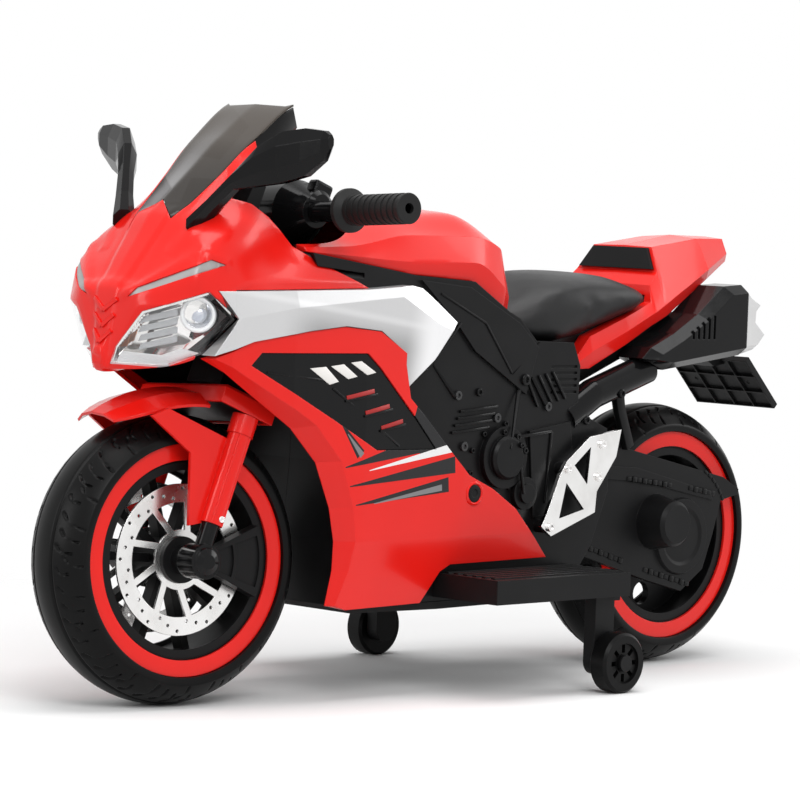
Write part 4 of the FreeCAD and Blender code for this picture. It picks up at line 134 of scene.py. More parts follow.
STRIP = [(0.302, 0.841), (0.292, 0.862), (0.218, 0.922), (0.203, 0.912), (0.241, 0.886)]
NOSE_NOTCH = [(0.4035, 0.660), (0.403, 0.729), (0.379, 0.804), (0.399, 0.8605), (0.372, 0.850),
              (0.372, 0.660)]
NOSE_SEAM = [(0.377, 0.862), (0.150, 0.8695), (0.150, 0.55), (0.377, 0.55)]

# Reach of a cutting tool, half depth of the screen's tool, and where the notches start beside the keel
TOOL_REACH = 250.0
SCREEN_TOOL_HALF = 40.0
NOTCH_INNER = 31.0

# Open rear end of the cowl, how far its tip stands out, and the tip's share of the first section
COWL_REAR = 187.5
COWL_TIP = 3.5
TIP_SHARE = 0.55

# Beak between the lamps: half width at a height and its growth, edge, top and its fade, rear end, rise.
# Then the lips: core, reach and rise
BEAK_HALF, BEAK_LEVEL, BEAK_GROWTH, BEAK_EDGE = 17.8, 440.0, 0.12, 4.4
BEAK_TOP, BEAK_FADE, BEAK_FROM, BEAK_RISE = 514.0, 10.0, 300.0, 1.8
LIP_CORE, LIP_REACH, LIP_RISE = 1.2, 4.2, 1.7

# Strips: wall and sink in metres. Ribs of the beak: height and half width in millimetres
STRIP_WALL, STRIP_SINK = 0.0015, 0.0014
CHEVRONS = ((414, 17), (398, 15), (382, 13))

# Side walls of the screen in metres: levels below its top, offset behind the sheet, and wall
FLANK_DROPS = (0.003, 0.014, 0.028, 0.042, 0.054)
FLANK_BEHIND = (-0.0008, -0.0012, -0.0010)
FLANK_WALL = 0.0022

# Seat: shrinking before the swell, inner pressure and frames of the simulation
SEAT_SHRINK = (0.975, 0.965, 0.96)
SEAT_PRESSURE = 4.0
SWELL_FRAMES = 20

# Tyre section as (width, radius): a round crown, the left wall with its bead, and the inner face
CROWN_CENTRE, CROWN_RADIUS, CROWN_HALF, CROWN_POINTS = 90.9, 59.1, 46.0, 89
TYRE_WALL = [(33, 101), (35, 100.9), (38, 101), (38, 106), (38, 113), (38, 119), (38.6, 119.8), (42, 119.8),
             (45.2, 120), (45.8, 122), (46, 125)]
TYRE_INSIDE = [(-33, 114), (-40, 127), (-28, 138), (0, 145), (28, 138), (40, 127), (33, 114)]

# Slits of one tread tile, as width and share of the tile at both ends, and the two grooves
SLITS = [(22, 0.06, 43, 0.24), (24, 0.30, 40, 0.43), (21, 0.50, 36, 0.60), (30, 0.66, 44, 0.78),
         (22, 0.80, 33, 0.88)]
SLIT_HALF, SLIT_EDGE, SLIT_BOW = 1.7, 0.7, 3.0
GROOVE_AT, GROOVE_HALF, GROOVE_EDGE = 15.5, 1.4, 0.8
TREAD_RADIUS = 143.0
STEPS_PER_TILE = 64

# Round lamp behind the headlight glass: shares across and up, and depth. Then lathed parts, plates and beads
LAMP_SPOT = (0.2295, 0.811, 7)
LAMP_RING = [(-2, 13.5), (1.5, 13.8), (3.0, 15.0), (3.2, 17.0), (1.8, 18.2), (-2, 18.4)]
LAMP_BOWL = [(-9, 0), (-8.4, 5), (-6, 10), (-1.5, 13.6), (-1.5, 14.4), (-7, 11.6), (-10, 5), (-10.5, 0)]
LAMP_BALL = [(-8, 0), (-8, 8.5), (-5.5, 9.0), (-2.5, 7.6), (-0.6, 4.6), (0.2, 0)]
LAMP_BEAD = [(-1, 0), (-1, 1.5), (0.4, 1.5), (1.0, 0.8), (1.2, 0)]
LAMP_BARS = (0.788, 0.770, 0.752, 0.734)
LAMP_TRAY = [(0.312, 0.708), (0.262, 0.704), (0.228, 0.732), (0.246, 0.741), (0.266, 0.726), (0.306, 0.731)]
LAMP_EDGE = [(0.2185, 0.855), (0.1925, 0.804), (0.226, 0.7325), (0.230, 0.739), (0.199, 0.804),
             (0.2225, 0.848)]
LAMP_AMBER = [(0.310, 0.738), (0.301, 0.741), (0.298, 0.765), (0.305, 0.762)]
BEAD_START, BEAD_RUN, BEAD_COUNT, BEAD_DEPTH = (0.310, 0.742), (-0.026, 0.064), 13, 5

# Where a ray towards the glass starts, and how far along it a place lies when it misses the glass
GLASS_AWAY = 600.0
GLASS_MISSED = 232.0

# Details of the left side as (x, z) in millimetres
SLASHES = [[(279, 352), (257, 353.5), (239, 338), (252, 335)],
           [(250, 354), (232, 356), (213, 343), (226, 340.5)],
           [(222, 357.5), (207, 359), (186, 347), (199, 344.5)]]
SLOTS = [((228, 321), (189, 328)), ((202, 305), (167, 312)), ((178, 289), (147, 296))]
SCREWS = ((-59, 336, 6.5), (9, 323, 4.6), (-47, 274, 3.6), (-59, 259, 3.6), (-34, 288, 3.4), (-218, 319, 5.2),
          (-164, 290, 5.2))
COVER_CENTRE, COVER_RADIUS, COVER_SCREWS = (-16, 245), 36, 9
COVER_EDGES = (((-46, 274), (-104, 279)), ((-104, 279), (-97, 200)), ((-46, 274), (-56, 212)))
FRAME_RIDGES = [((76, 429), (6, 398)), ((6, 398), (-38, 343)), ((80, 353), (47, 318)), ((44, 398), (81, 355)),
                ((-38, 343), (-84, 378)), ((-30, 262), (-52, 326))]
FRAME_SIDE = 94.0
PLUG = (31, 216)
PLUG_LIP = [(-2, 9.5), (1.2, 9.8), (2.2, 11.2), (1.0, 13.0), (-2, 13.4)]
STAY = [(-236, 326), (-251, 328), (-256, 300), (-273, 258), (-262, 252), (-244, 296)]
STAY_SIDE = 62.0
CHAIN_RUNS = (((-276, 219), (-346, 210)), ((-384, 205), (-424, 198)), ((-158, 160), (-268, 126)),
              ((-312, 113), (-412, 87)))
CHAIN_PITCH = 9.0
CHAINWHEEL_RADIUS, CHAINWHEEL_TEETH, CHAINWHEEL_FROM, CHAINWHEEL_STEP = 84, 25, -72, 6
TOOTH_SCALE = 0.55

# Lumps on the handlebar: place along the bar, radius, length and lift. Then the screw of a fork cover
BAR_LUMPS = ((34, 19, 20, 14), (58, 15, 16, 9), (-34, 19, 20, 14), (-58, 15, 16, 9))
COVER_SCREW = (-2.3, 74.2, 47.0)

# Dark corner behind the vent and a fan of tapered bars below it: both ends, half width at each, and colour
INK, GREY, WHITE = (0.010, 0.010, 0.011), (0.20, 0.20, 0.205), (0.80, 0.80, 0.80)
STRIPES = [((122, 262), (98, 352), 22.0, 12.0, INK), ((113, 300), (97, 338), 1.0, 4.2, GREY),
           ((226, 249), (60, 283), 0.6, 14.0, INK), ((192, 245), (60, 268), 0.4, 5.2, WHITE),
           ((218, 229), (64, 248), 0.6, 9.0, INK), ((208, 209), (72, 227), 0.6, 8.0, INK),
           ((182, 210), (82, 224), 0.4, 3.4, GREY), ((206, 262), (238, 298), 6.0, 0.4, INK),
           ((204, 261), (226, 284), 3.4, 0.4, GREY)]

# Soft boxes: place, size and power. Then the world's light, and what the eye and reflections see of it
SOFTBOXES = [("key", (1.6, 2.6, 2.6), (2.2, 1.6), 66.0), ("top", (0.0, 0.2, 3.0), (2.6, 1.6), 52.0),
             ("front", (3.2, -0.8, 1.5), (1.2, 1.6), 26.0), ("rear", (-2.8, 1.6, 1.6), (1.2, 1.6), 24.0)]
LIT_SPOT = (0, 0, 0.3)
WORLD_LIGHT, WORLD_SEEN = 0.5, 1.0

# The photo's camera: angles in degrees, distance in metres, target in millimetres, sensor and lens
AZIMUTH, ELEVATION, ROLL, DISTANCE = 45.03, 3.21, 2.1, 4.210
TARGET = (34.0, 0, 308.8)
SENSOR, LENS = 36.0, 173.95

# Merging distance of doubles in metres, and of lathed forms in millimetres
DOUBLES = 0.00004
LATHE_DOUBLES = 0.001

# Height in metres of a plate before it is laid on a skin, and how far its foot sinks in, in millimetres
DRAWN = 0.01
SINK = 1.0

# Angles in degrees beyond which rims and plates are rounded
RIM_ANGLE = 55
SOFT_ANGLE = 40

# Finishes: clear coat, soft edge of a painted band, and how far out the plated screws start, in metres
COAT_ROUGHNESS = 0.04
BAND_EDGE = 0.00015
FOOTREST_SIDE = 0.1105

# The step that turns all faces outwards
OUTWARDS = (bpy.ops.mesh.normals_make_consistent, {"inside": False})


def length_property(name, text, value):
    return bpy.props.FloatProperty(name=name, description=text, default=value, unit="LENGTH")


def colour_property(name, text, value):
    return bpy.props.FloatVectorProperty(name=name, description=text, subtype="COLOR", size=3, default=value)


class BikeSizes(bpy.types.PropertyGroup):
    """Sizes of the pieces that dress the frame."""
    tread_tiles: bpy.props.IntProperty(
        name="Tread tiles", description="Times the tread pattern repeats round a tyre", default=12, min=6)
    tread_depth: length_property("Tread depth", "Depth of the tyre's slits", 0.0026)
    shell_wall: length_property("Shell wall", "Wall of the moulded nose and tank", 0.003)
    lens_wall: length_property("Lens wall", "Wall of lenses and screen", 0.002)
    seat_voxel: length_property("Seat voxel", "Mesh size of the seat's cloth", 0.005)
    seat_swell: length_property("Seat swell", "Most that the seat's cover may swell", 0.006)
    seat_dip: length_property("Seat dip", "Fall of the seat's front end towards the tank", 0.022)
    seat_dip_run: length_property("Seat dip run", "Length over which the front end falls", 0.085)


class BikeColours(bpy.types.PropertyGroup):
    """Colours of the bike's finishes."""
    shell: colour_property("Shell", "Red of the fairings", (0.76, 0.011, 0.007))
    panel: colour_property("Panel", "Silver of the upper side panels", (0.60, 0.60, 0.605))
    frame: colour_property("Frame", "Black of the moulded frame", (0.0055, 0.0055, 0.0058))
    strip: colour_property("Strip", "Grey of the nose strips", (0.33, 0.325, 0.32))
    seat: colour_property("Seat", "Black of the seat cover", (0.0075, 0.0075, 0.008))
    floor: colour_property("Floor", "Pale studio floor", (0.88, 0.88, 0.88))


# Places and steering

def place(x, y, z):
    return Vector(((x + SHIFT) / 1000, y / 1000, z / 1000))


def to_place(x, y, z):
    """From millimetres about a spot to the scene."""
    return Matrix.Translation(place(x, y, z)) @ Matrix.Scale(0.001, 4)


def head_matrix():
    """From millimetres about the front axle and steering axis to the scene."""
    turn = Matrix.Rotation(math.radians(-RAKE), 4, "Y") @ Matrix.Rotation(math.radians(STEER_REST), 4, "Z")
    return Matrix.Translation(place(*FRONT_AXLE)) @ turn @ Matrix.Scale(0.001, 4)


# Mesh work by operators

def pick_none():
    bpy.ops.object.select_all(action="DESELECT")


def pick(piece):
    pick_none()
    piece.select_set(True)
    bpy.context.view_layer.objects.active = piece


def named(piece, name):
    piece.name = name
    piece.data.name = name
    return piece


def added(name):
    return named(bpy.context.object, name)


def vectors(vertices, key):
    values = np.empty(len(vertices) * 3)
    vertices.foreach_get(key, values)
    return values.reshape(-1, 3)


def coordinates(piece):
    return vectors(piece.data.vertices, "co")


def set_coordinates(piece, values):
    piece.data.vertices.foreach_set("co", np.ascontiguousarray(values, dtype=float).ravel())
    piece.data.update()


def push(piece, heights):
    """Moves a skin along its normals."""
    set_coordinates(piece, coordinates(piece) + vectors(piece.data.vertices, "normal") * heights)


def edit(piece, *steps):
    """Runs mesh operators, each on everything in a piece."""
    pick(piece)
    bpy.ops.object.mode_set(mode="EDIT")
    for operator, values in steps:
        bpy.ops.mesh.select_all(action="SELECT")
        operator(**values)
    bpy.ops.object.mode_set(mode="OBJECT")


def tidy_mesh(piece):
    """Merges doubles and turns all faces outwards."""
    edit(piece, (bpy.ops.mesh.remove_doubles, {"threshold": DOUBLES}), OUTWARDS)


def modify(piece, kind, **settings):
    """Adds one modifier with its settings and applies it."""
    modifier = piece.modifiers.new(kind.lower(), kind)
    for key, value in settings.items():
        setattr(modifier, key, value)
    pick(piece)
    bpy.ops.object.modifier_apply(modifier=modifier.name)


def round_rims(piece, width, angle):
    modify(piece, "BEVEL", width=width, segments=2, limit_method="ANGLE", angle_limit=math.radians(angle))


def grid(name, columns, rows, form):
    """A grid primitive whose points are laid by form(u, v), in millimetres."""
    pick_none()
    bpy.ops.mesh.primitive_grid_add(x_subdivisions=columns, y_subdivisions=rows, size=2)
    piece = added(name)
    flat = (coordinates(piece) + 1) / 2
    laid = form(flat[:, 0], flat[:, 1])
    set_coordinates(piece, (laid + np.array([SHIFT, 0, 0])) / 1000)
    return piece


def ring_of(name, points, fill):
    pick_none()
    bpy.ops.mesh.primitive_circle_add(vertices=len(points), radius=1, fill_type=fill)
    piece = added(name)
    set_coordinates(piece, np.array([tuple(p) for p in points]))
    return piece


def prism(name, points, run):
    """An outline in scene metres, drawn out along a vector."""
    piece = ring_of(name, points, "NGON")
    drawn = {"TRANSFORM_OT_translate": {"value": tuple(run)}}
    edit(piece, (bpy.ops.mesh.extrude_region_move, drawn), OUTWARDS)
    return piece


def side_prism(name, shares, y_low=-TOOL_REACH, y_high=TOOL_REACH):
    points = [place(x * LENGTH, y_low, z * HEIGHT) for x, z in shares]
    return prism(name, points, (0, (y_high - y_low) / 1000, 0))


def drawn_in(points, depth):
    """A closed plane outline drawn in by a depth, with mitred corners."""
    count = len(points)
    area = sum(points[i - 1][0] * points[i][1] - points[i][0] * points[i - 1][1] for i in range(count))
    sign = 1 if area > 0 else -1
    normals = []
    for i in range(count):
        a = points[i]
        b = points[(i + 1) % count]
        size = math.hypot(b[0] - a[0], b[1] - a[1])
        normals.append((-sign * (b[1] - a[1]) / size, sign * (b[0] - a[0]) / size))
    result = []
    for i, point in enumerate(points):
        n, m = normals[i - 1], normals[i]
        scale = depth / (1 + n[0] * m[0] + n[1] * m[1])
        result.append((point[0] + scale * (n[0] + m[0]), point[1] + scale * (n[1] + m[1])))
    return result


def lathe(name, profile, steps, matrix, angle=0):
    """A ring or cap spun about the Y axis from (y, radius) points, set by a matrix in millimetres."""
    piece = ring_of(name, [(0.0, y, r) for y, r in profile], "NOTHING")
    spin = {"steps": steps, "angle": 2 * math.pi, "center": (0, 0, 0), "axis": (0, 1, 0), "dupli": False}
    merge = {"threshold": LATHE_DOUBLES}
    edit(piece, (bpy.ops.mesh.spin, spin), (bpy.ops.mesh.remove_doubles, merge), OUTWARDS)
    piece.data.transform(matrix)
    if angle:
        smooth(piece, angle)
    return piece


def block(name, low, high, matrix, bevel):
    """A box between two corners in millimetres, with its edges rounded."""
    pick_none()
    bpy.ops.mesh.primitive_cube_add(size=1)
    piece = added(name)
    low, high = Vector(low), Vector(high)
    piece.data.transform(Matrix.Translation((high + low) / 2) @ Matrix.Diagonal((*(high - low), 1)))
    edit(piece, (bpy.ops.mesh.bevel, {"offset": bevel, "segments": 2, "affect": "EDGES"}))
    piece.data.transform(matrix)
    return piece


def joined(name, pieces):
    pick_none()
    for piece in pieces:
        piece.select_set(True)
    bpy.context.view_layer.objects.active = pieces[0]
    if len(pieces) > 1:
        bpy.ops.object.join()
    return added(name)


def copied(piece, matrix, name):
    """A copy with its own mesh, moved by a matrix in scene metres."""
    pick(piece)
    bpy.ops.object.duplicate(linked=False)
    twin = added(name)
    twin.data.transform(matrix)
    if matrix.determinant() < 0:
        edit(twin, (bpy.ops.mesh.flip_normals, {}))
    return twin


def marker(name):
    return bpy.data.materials.get(name) or bpy.data.materials.new(name)


def cut(piece, tools, operation="DIFFERENCE"):
    """Boolean work with tools that are used up."""
    for tool in tools:
        tool.data.materials.clear()
        tool.data.materials.append(marker("cut_marker"))
        modify(piece, "BOOLEAN", operation=operation, object=tool, solver="EXACT", material_mode="TRANSFER")
        bpy.data.objects.remove(tool)


def keep_skin(piece, also_drop=None):
    """Deletes the faces that the cutting tools left, and any others named by a test on face centre."""
    names = [m.name if m else "" for m in piece.data.materials]
    pick(piece)
    bpy.ops.object.mode_set(mode="EDIT")
    bpy.ops.mesh.select_all(action="DESELECT")
    bpy.ops.object.mode_set(mode="OBJECT")
    for face in piece.data.polygons:
        drop = names and names[face.material_index] == "cut_marker"
        if also_drop and also_drop(face.center, face.normal):
            drop = True
        face.select = bool(drop)
    bpy.ops.object.mode_set(mode="EDIT")
    bpy.ops.mesh.select_mode(type="FACE")
    bpy.ops.mesh.delete(type="FACE")
    bpy.ops.object.mode_set(mode="OBJECT")
    piece.data.materials.clear()


def thicken(piece, wall, rim):
    """Gives a skin its wall inwards and rounds the rims."""
    modify(piece, "SOLIDIFY", thickness=wall, offset=-1, use_even_offset=False)
    round_rims(piece, rim, RIM_ANGLE)


def smooth(piece, angle=35):
    pick(piece)
    bpy.ops.object.shade_smooth_by_angle(angle=math.radians(angle))


def finished(piece, body, finish, stands_for=()):
    """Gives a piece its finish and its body."""
    piece.data.materials.clear()
    piece.data.materials.append(finish)
    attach(piece, body)
    if stands_for:
        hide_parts(*stands_for)
    return piece


# Details set on the surface of another piece

def skin_tree(*names):
    """The skins of pieces, to be hit by rays."""
    points = []
    faces = []
    for name in names:
        mesh = bpy.data.objects[name].data if name in bpy.data.objects else NODES[name].data
        base = len(points)
        points.extend(vertex.co.copy() for vertex in mesh.vertices)
        faces.extend([base + index for index in face.vertices] for face in mesh.polygons)
    return BVHTree.FromPolygons(points, faces)


def side_y(tree, x, z, missed=0.0):
    """How far out the left side of a skin lies, in millimetres."""
    spot = tree.ray_cast(place(x, 300, z), Vector((0, -1, 0)))[0]
    return spot.y * 1000 if spot else missed


def soften(piece, width):
    round_rims(piece, width / 1000, SOFT_ANGLE)
    smooth(piece, 30)
    return piece


def raised(name, outline, tree, lift, rim=0.4):
    """A plate on the left side of a skin, from (x, z) points in millimetres."""
    piece = prism(name, [place(x, 0, z) for x, z in outline], (0, DRAWN, 0))
    values = coordinates(piece)
    for value in values:
        base = side_y(tree, value[0] * 1000 - SHIFT, value[2] * 1000)
        value[1] = (base + (lift if value[1] > DRAWN / 2 else -SINK)) / 1000
    set_coordinates(piece, values)
    tidy_mesh(piece)
    return soften(piece, rim)


def bar(start, end, width):
    """Outline of a straight bar between two points."""
    dx, dz = end[0] - start[0], end[1] - start[1]
    size = math.hypot(dx, dz)
    nx, nz = -dz / size * width / 2, dx / size * width / 2
    return [(start[0] + nx, start[1] + nz), (start[0] - nx, start[1] - nz), (end[0] - nx, end[1] - nz),
            (end[0] + nx, end[1] + nz)]


def stud(name, radius, height, matrix, steps=24):
    """A screw head with a socket, spun about Y and set by a matrix in millimetres."""
    profile = [(-1.5, 0), (-1.5, radius), (height * 0.6, radius), (height * 0.9, radius * 0.92),
               (height, radius * 0.8), (height, radius * 0.5), (height * 0.35, radius * 0.42),
               (height * 0.35, 0)]
    return lathe(name, profile, steps, matrix, 30)


def on_both(name, pieces):
    """Left pieces and their mirror images as one piece."""
    left = joined(name, pieces)
    return joined(name, [left, copied(left, Matrix.Scale(-1, 4, (0, 1, 0)), name + "_right")])


def pair(name, pieces, finish):
    return finished(on_both(name, pieces), "chassis", finish)


# Smooth lines through given points

def flow(knots, values, at):
    """A smooth line through values at knots that never overshoots them."""
    knots = np.asarray(knots, float)
    values = np.asarray(values, float)
    step = np.diff(knots)[:, None]
    slope = np.diff(values, axis=0) / step
    tangent = np.zeros_like(values)
    if len(knots) == 2:
        tangent[:] = slope[0]
    else:
        left, right = slope[:-1], slope[1:]
        w_left = 2 * step[1:] + step[:-1]
        w_right = step[1:] + 2 * step[:-1]
        same = left * right > 0
        with np.errstate(divide="ignore", invalid="ignore"):
            mean = (w_left + w_right) / (w_left / left + w_right / right)
        tangent[1:-1] = np.where(same, mean, 0)
        tangent[0] = slope[0]
        tangent[-1] = slope[-1]
    index = np.clip(np.searchsorted(knots, at, side="right") - 1, 0, len(knots) - 2)
    h = step[index]
    t = ((at - knots[index])[:, None]) / h
    a = 2 * t ** 3 - 3 * t ** 2 + 1
    b = t ** 3 - 2 * t ** 2 + t
    c = -2 * t ** 3 + 3 * t ** 2
    d = t ** 3 - t ** 2
    return a * values[index] + b * h * tangent[index] + c * values[index + 1] + d * h * tangent[index + 1]


def half_line(points, each, creases):
    """Points along a half section, smooth but for its creases, with a fixed count for each span."""
    points = np.asarray(points, float)
    stops = [0] + sorted(creases) + [len(points) - 1]
    parts = []
    for start, end in zip(stops, stops[1:]):
        knots = np.arange(start, end + 1)
        at = np.linspace(start, end, (end - start) * each + 1)
        parts.append(flow(knots, points[start:end + 1], at)[:-1 if end < len(points) - 1 else None])
    return np.vstack(parts)


def loft(name, stations, each, spans, creases, tip=0.0):
    """A closed smooth form through mirrored half sections."""
    xs = [x * LENGTH for x, half in stations]
    rings = []
    for x, half in stations:
        line = half_line([(y * WIDTH, z * HEIGHT) for y, z in half], each, creases)
        rings.append(np.vstack([line, line[1:-1][::-1] * np.array([-1, 1])]))
    rings = np.array(rings)
    if tip:
        middle = rings[0].mean(axis=0)
        rings = np.concatenate([[middle + (rings[0] - middle) * TIP_SHARE], rings])
        xs = [xs[0] + tip] + xs
    last, count = len(xs) - 1, rings.shape[1]
    steps = [np.linspace(start, start + 1, spans, endpoint=False) for start in range(last)]
    along = np.concatenate(steps + [[last]])
    x_line = flow(np.arange(len(xs)), np.array(xs)[:, None], along)[:, 0]
    surface = flow(-np.array(xs), rings.reshape(len(xs), -1), -x_line).reshape(len(along), count, 2)

    def form(u, v):
        ring = np.rint(v * (len(along) - 1)).astype(int)
        yz = surface[ring, np.rint(u * count).astype(int) % count]
        return np.column_stack([x_line[ring], yz[:, 0], yz[:, 1]])

    piece = grid(name, count, len(along) - 1, form)
    tidy_mesh(piece)
    edit(piece, (bpy.ops.mesh.fill_holes, {"sides": 0}), OUTWARDS)
    piece.data.materials.append(marker("skin_marker"))
    return piece


# Finishes

def maths(operation, swap=False):
    """A method of Socket that adds one Math node."""
    def method(self, *others):
        values = [self, *others]
        if swap:
            values.reverse()
        node = self.finish.add("ShaderNodeMath", {"operation": operation}, dict(enumerate(values)))
        return Socket(self.finish, node.outputs[0])
    return method


class Socket:
    """A shader value that takes plain arithmetic."""
    __add__ = __radd__ = maths("ADD")
    __mul__ = __rmul__ = maths("MULTIPLY")
    __sub__ = maths("SUBTRACT")
    __rsub__ = maths("SUBTRACT", swap=True)
    __truediv__ = maths("DIVIDE")
    __rtruediv__ = maths("DIVIDE", swap=True)
    __gt__ = maths("GREATER_THAN")
    __lt__ = maths("LESS_THAN")
    __abs__ = maths("ABSOLUTE")
    least = maths("MINIMUM")
    root = maths("SQRT")

    def __init__(self, finish, socket):
        self.finish = finish
        self.socket = socket

    def ramp(self, low, high):
        """Runs from 0 at low to 1 at high, smoothly."""
        node = self.finish.add("ShaderNodeMapRange", {"interpolation_type": "SMOOTHSTEP"},
                               {"Value": self, "From Min": low, "From Max": high})
        return Socket(self.finish, node.outputs[0])


class Finish:
    """A procedural material, built node by node on one principled shader."""

    def __init__(self, name, tone, roughness, metallic=0.0, coat=0.0, specular=0.5, round_edges=0.0):
        self.material = bpy.data.materials.new(name)
        self.material.use_nodes = True
        self.tree = self.material.node_tree
        self.shader = self.tree.nodes["Principled BSDF"]
        values = {"Base Color": (*tone, 1), "Roughness": roughness, "Metallic": metallic, "Coat Weight": coat,
                  "Coat Roughness": COAT_ROUGHNESS, "Specular IOR Level": specular}
        for key, value in values.items():
            self.shader.inputs[key].default_value = value
        self.place = Socket(self, self.add("ShaderNodeTexCoord").outputs["Object"])
        if round_edges:
            rounded = self.add("ShaderNodeBevel", {"samples": 4}, {"Radius": round_edges})
            self.link(rounded.outputs[0], self.shader.inputs["Normal"])

    def add(self, kind, settings=None, inputs=None):
        """One node of a type, its settings, then the values or links of its sockets."""
        node = self.tree.nodes.new(kind)
        for key, value in (settings or {}).items():
            setattr(node, key, value)
        for key, value in (inputs or {}).items():
            if isinstance(value, Socket):
                self.link(value.socket, node.inputs[key])
            elif value is not None:
                node.inputs[key].default_value = value
        return node

    def link(self, source, target):
        self.tree.links.new(source, target)

    def feed(self, name, value):
        self.link(value.socket, self.shader.inputs[name])

    def axes(self):
        """X, Y and Z of the piece's own place, in metres."""
        split = self.add("ShaderNodeSeparateXYZ", None, {0: self.place})
        return [Socket(self, output) for output in split.outputs]

    def stretched(self, scale):
        node = self.add("ShaderNodeMapping", {"vector_type": "POINT"}, {"Vector": self.place, "Scale": scale})
        return Socket(self, node.outputs[0])

    def noise(self, scale, detail, at=None):
        values = {"Vector": at or self.place, "Scale": scale, "Detail": detail}
        return Socket(self, self.add("ShaderNodeTexNoise", None, values).outputs["Fac"])

    def cells(self, scale, feature):
        node = self.add("ShaderNodeTexVoronoi", {"feature": feature}, {"Vector": self.place, "Scale": scale})
        return Socket(self, node.outputs["Distance"])

    def blend(self, share, first, second):
        """A colour between two colours."""
        node = self.add("ShaderNodeMix", {"data_type": "RGBA"}, {0: share})
        for key, value in ((6, first), (7, second)):
            if isinstance(value, Socket):
                self.link(value.socket, node.inputs[key])
            else:
                node.inputs[key].default_value = (*value[:3], 1)
        return Socket(self, node.outputs[2])

    def band(self, x, z, start, end, first, last):
        """1 inside a straight band that changes its half width, in millimetres."""
        share, off = along(x, z, start, end)
        half = share * ((last - first) / 1000) + first / 1000
        return (half - abs(off)).ramp(-BAND_EDGE, BAND_EDGE) * (share > 0.0) * (share < 1.0)

    def paint(self, share, first, second):
        """A base colour between two colours."""
        self.feed("Base Color", self.blend(share, first, second))

    def gloss(self, scale, detail, swing, base):
        """Roughness that drifts upwards from its base."""
        self.feed("Roughness", self.noise(scale, detail) * swing + base)

    def grain(self, scale, detail, strength, distance):
        self.bump(self.noise(scale, detail), strength, distance)

    def bump(self, height, strength, distance):
        """Relief on the surface, over any rounded edges."""
        normal = self.shader.inputs["Normal"]
        before = normal.links[0].from_socket if normal.links else None
        values = {"Height": height, "Strength": strength, "Distance": distance}
        node = self.add("ShaderNodeBump", None, values)
        if before:
            self.link(before, node.inputs["Normal"])
        self.link(node.outputs[0], normal)


def along(x, z, start, end):
    """Share of the way along a line on the side of the bike, and the distance off it in metres."""
    ax, az = (start[0] + SHIFT) / 1000, start[1] / 1000
    dx, dz = (end[0] - start[0]) / 1000, (end[1] - start[1]) / 1000
    size = math.hypot(dx, dz)
    ux, uz = dx / size, dz / size
    return ((x - ax) * ux + (z - az) * uz) / size, (x - ax) * -uz + (z - az) * ux


def shade(tone, factor):
    return tuple(min(1.0, c * factor) for c in tone[:3])


def own_colour(key):
    return tuple(getattr(bpy.context.scene.bike_colours, key))


def shell_finish(name="shell_red", stripes=False):
    """Glossy red moulding: faint flow marks, an orange-peel surface and a clear top."""
    red = own_colour("shell")
    finish = Finish(name, red, 0.22, coat=0.12, specular=0.24, round_edges=0.0012)
    paint = finish.blend(finish.noise(9.0, 3.0), shade(red, 0.9), shade(red, 1.06))
    if stripes:
        x, y, z = finish.axes()
        for start, end, first, last, ink in STRIPES:
            paint = finish.blend(finish.band(x, z, start, end, first, last), paint, ink)
    finish.feed("Base Color", paint)
    finish.gloss(60.0, 3.0, 0.10, 0.17)
    finish.grain(260.0, 2.0, 0.06, 0.0004)
    return finish.material


def black_finish(name="frame_black", gloss=0.42):
    """Satin black moulding with a fine spark-eroded grain and faint dust."""
    black = own_colour("frame")
    finish = Finish(name, black, gloss, specular=0.13, round_edges=0.001)
    finish.paint(finish.noise(14.0, 4.0).ramp(0.45, 0.75) * 0.5, black, shade(black, 1.7))
    finish.gloss(38.0, 3.0, 0.14, gloss - 0.05)
    finish.grain(1500.0, 1.0, 0.10, 0.0003)
    return finish.material


def black_gloss_finish():
    finish = Finish("trim_black", (0.004, 0.004, 0.0045), 0.12, specular=0.16, round_edges=0.001)
    finish.paint(finish.noise(11.0, 3.0), (0.003, 0.003, 0.0033), (0.006, 0.006, 0.0064))
    finish.gloss(45.0, 3.0, 0.12, 0.07)
    finish.grain(240.0, 2.0, 0.06, 0.0004)
    return finish.material


def silver_finish():
    """Silver paint with fine metal flake, with painted shade along the panel's lower half, a painted
    highlight along its crest and a painted highlight at its rear tip.
    """
    silver = own_colour("panel")
    finish = Finish("panel_silver", silver, 0.34, metallic=0.75, coat=0.3, round_edges=0.0012)
    x, y, z = finish.axes()
    paint = finish.blend(finish.cells(2600.0, "F1") * 0.7, shade(silver, 1.08), shade(silver, 0.88))
    share, off = along(x, z, (330, 404), (100, 372))
    # Painted shade: the lower half of the panel is darkened towards a dark grey.
    low = off.ramp(-0.026, 0.010) * share.ramp(0.02, 0.3)
    paint = finish.blend(low * 0.72, paint, shade(silver, 0.40))
    # Painted highlight: a lighter band along the panel's crest.
    painted_crest_highlight = abs(off + 0.020).ramp(0.006, 0.0) * 0.55
    paint = finish.blend(painted_crest_highlight, paint, shade(silver, 1.25))
    # Painted highlight: the rear tip is brightened.
    finish.paint(share.ramp(0.80, 1.0), paint, shade(silver, 1.45))
    finish.gloss(900.0, 1.0, 0.14, 0.26)
    finish.grain(240.0, 2.0, 0.04, 0.0004)
    return finish.material


def strip_finish():
    grey = own_colour("strip")
    finish = Finish("strip_grey", grey, 0.4, metallic=0.2, round_edges=0.0006)
    finish.paint(finish.noise(30.0, 3.0), shade(grey, 0.9), shade(grey, 1.1))
    finish.grain(700.0, 1.0, 0.08, 0.0003)
    return finish.material


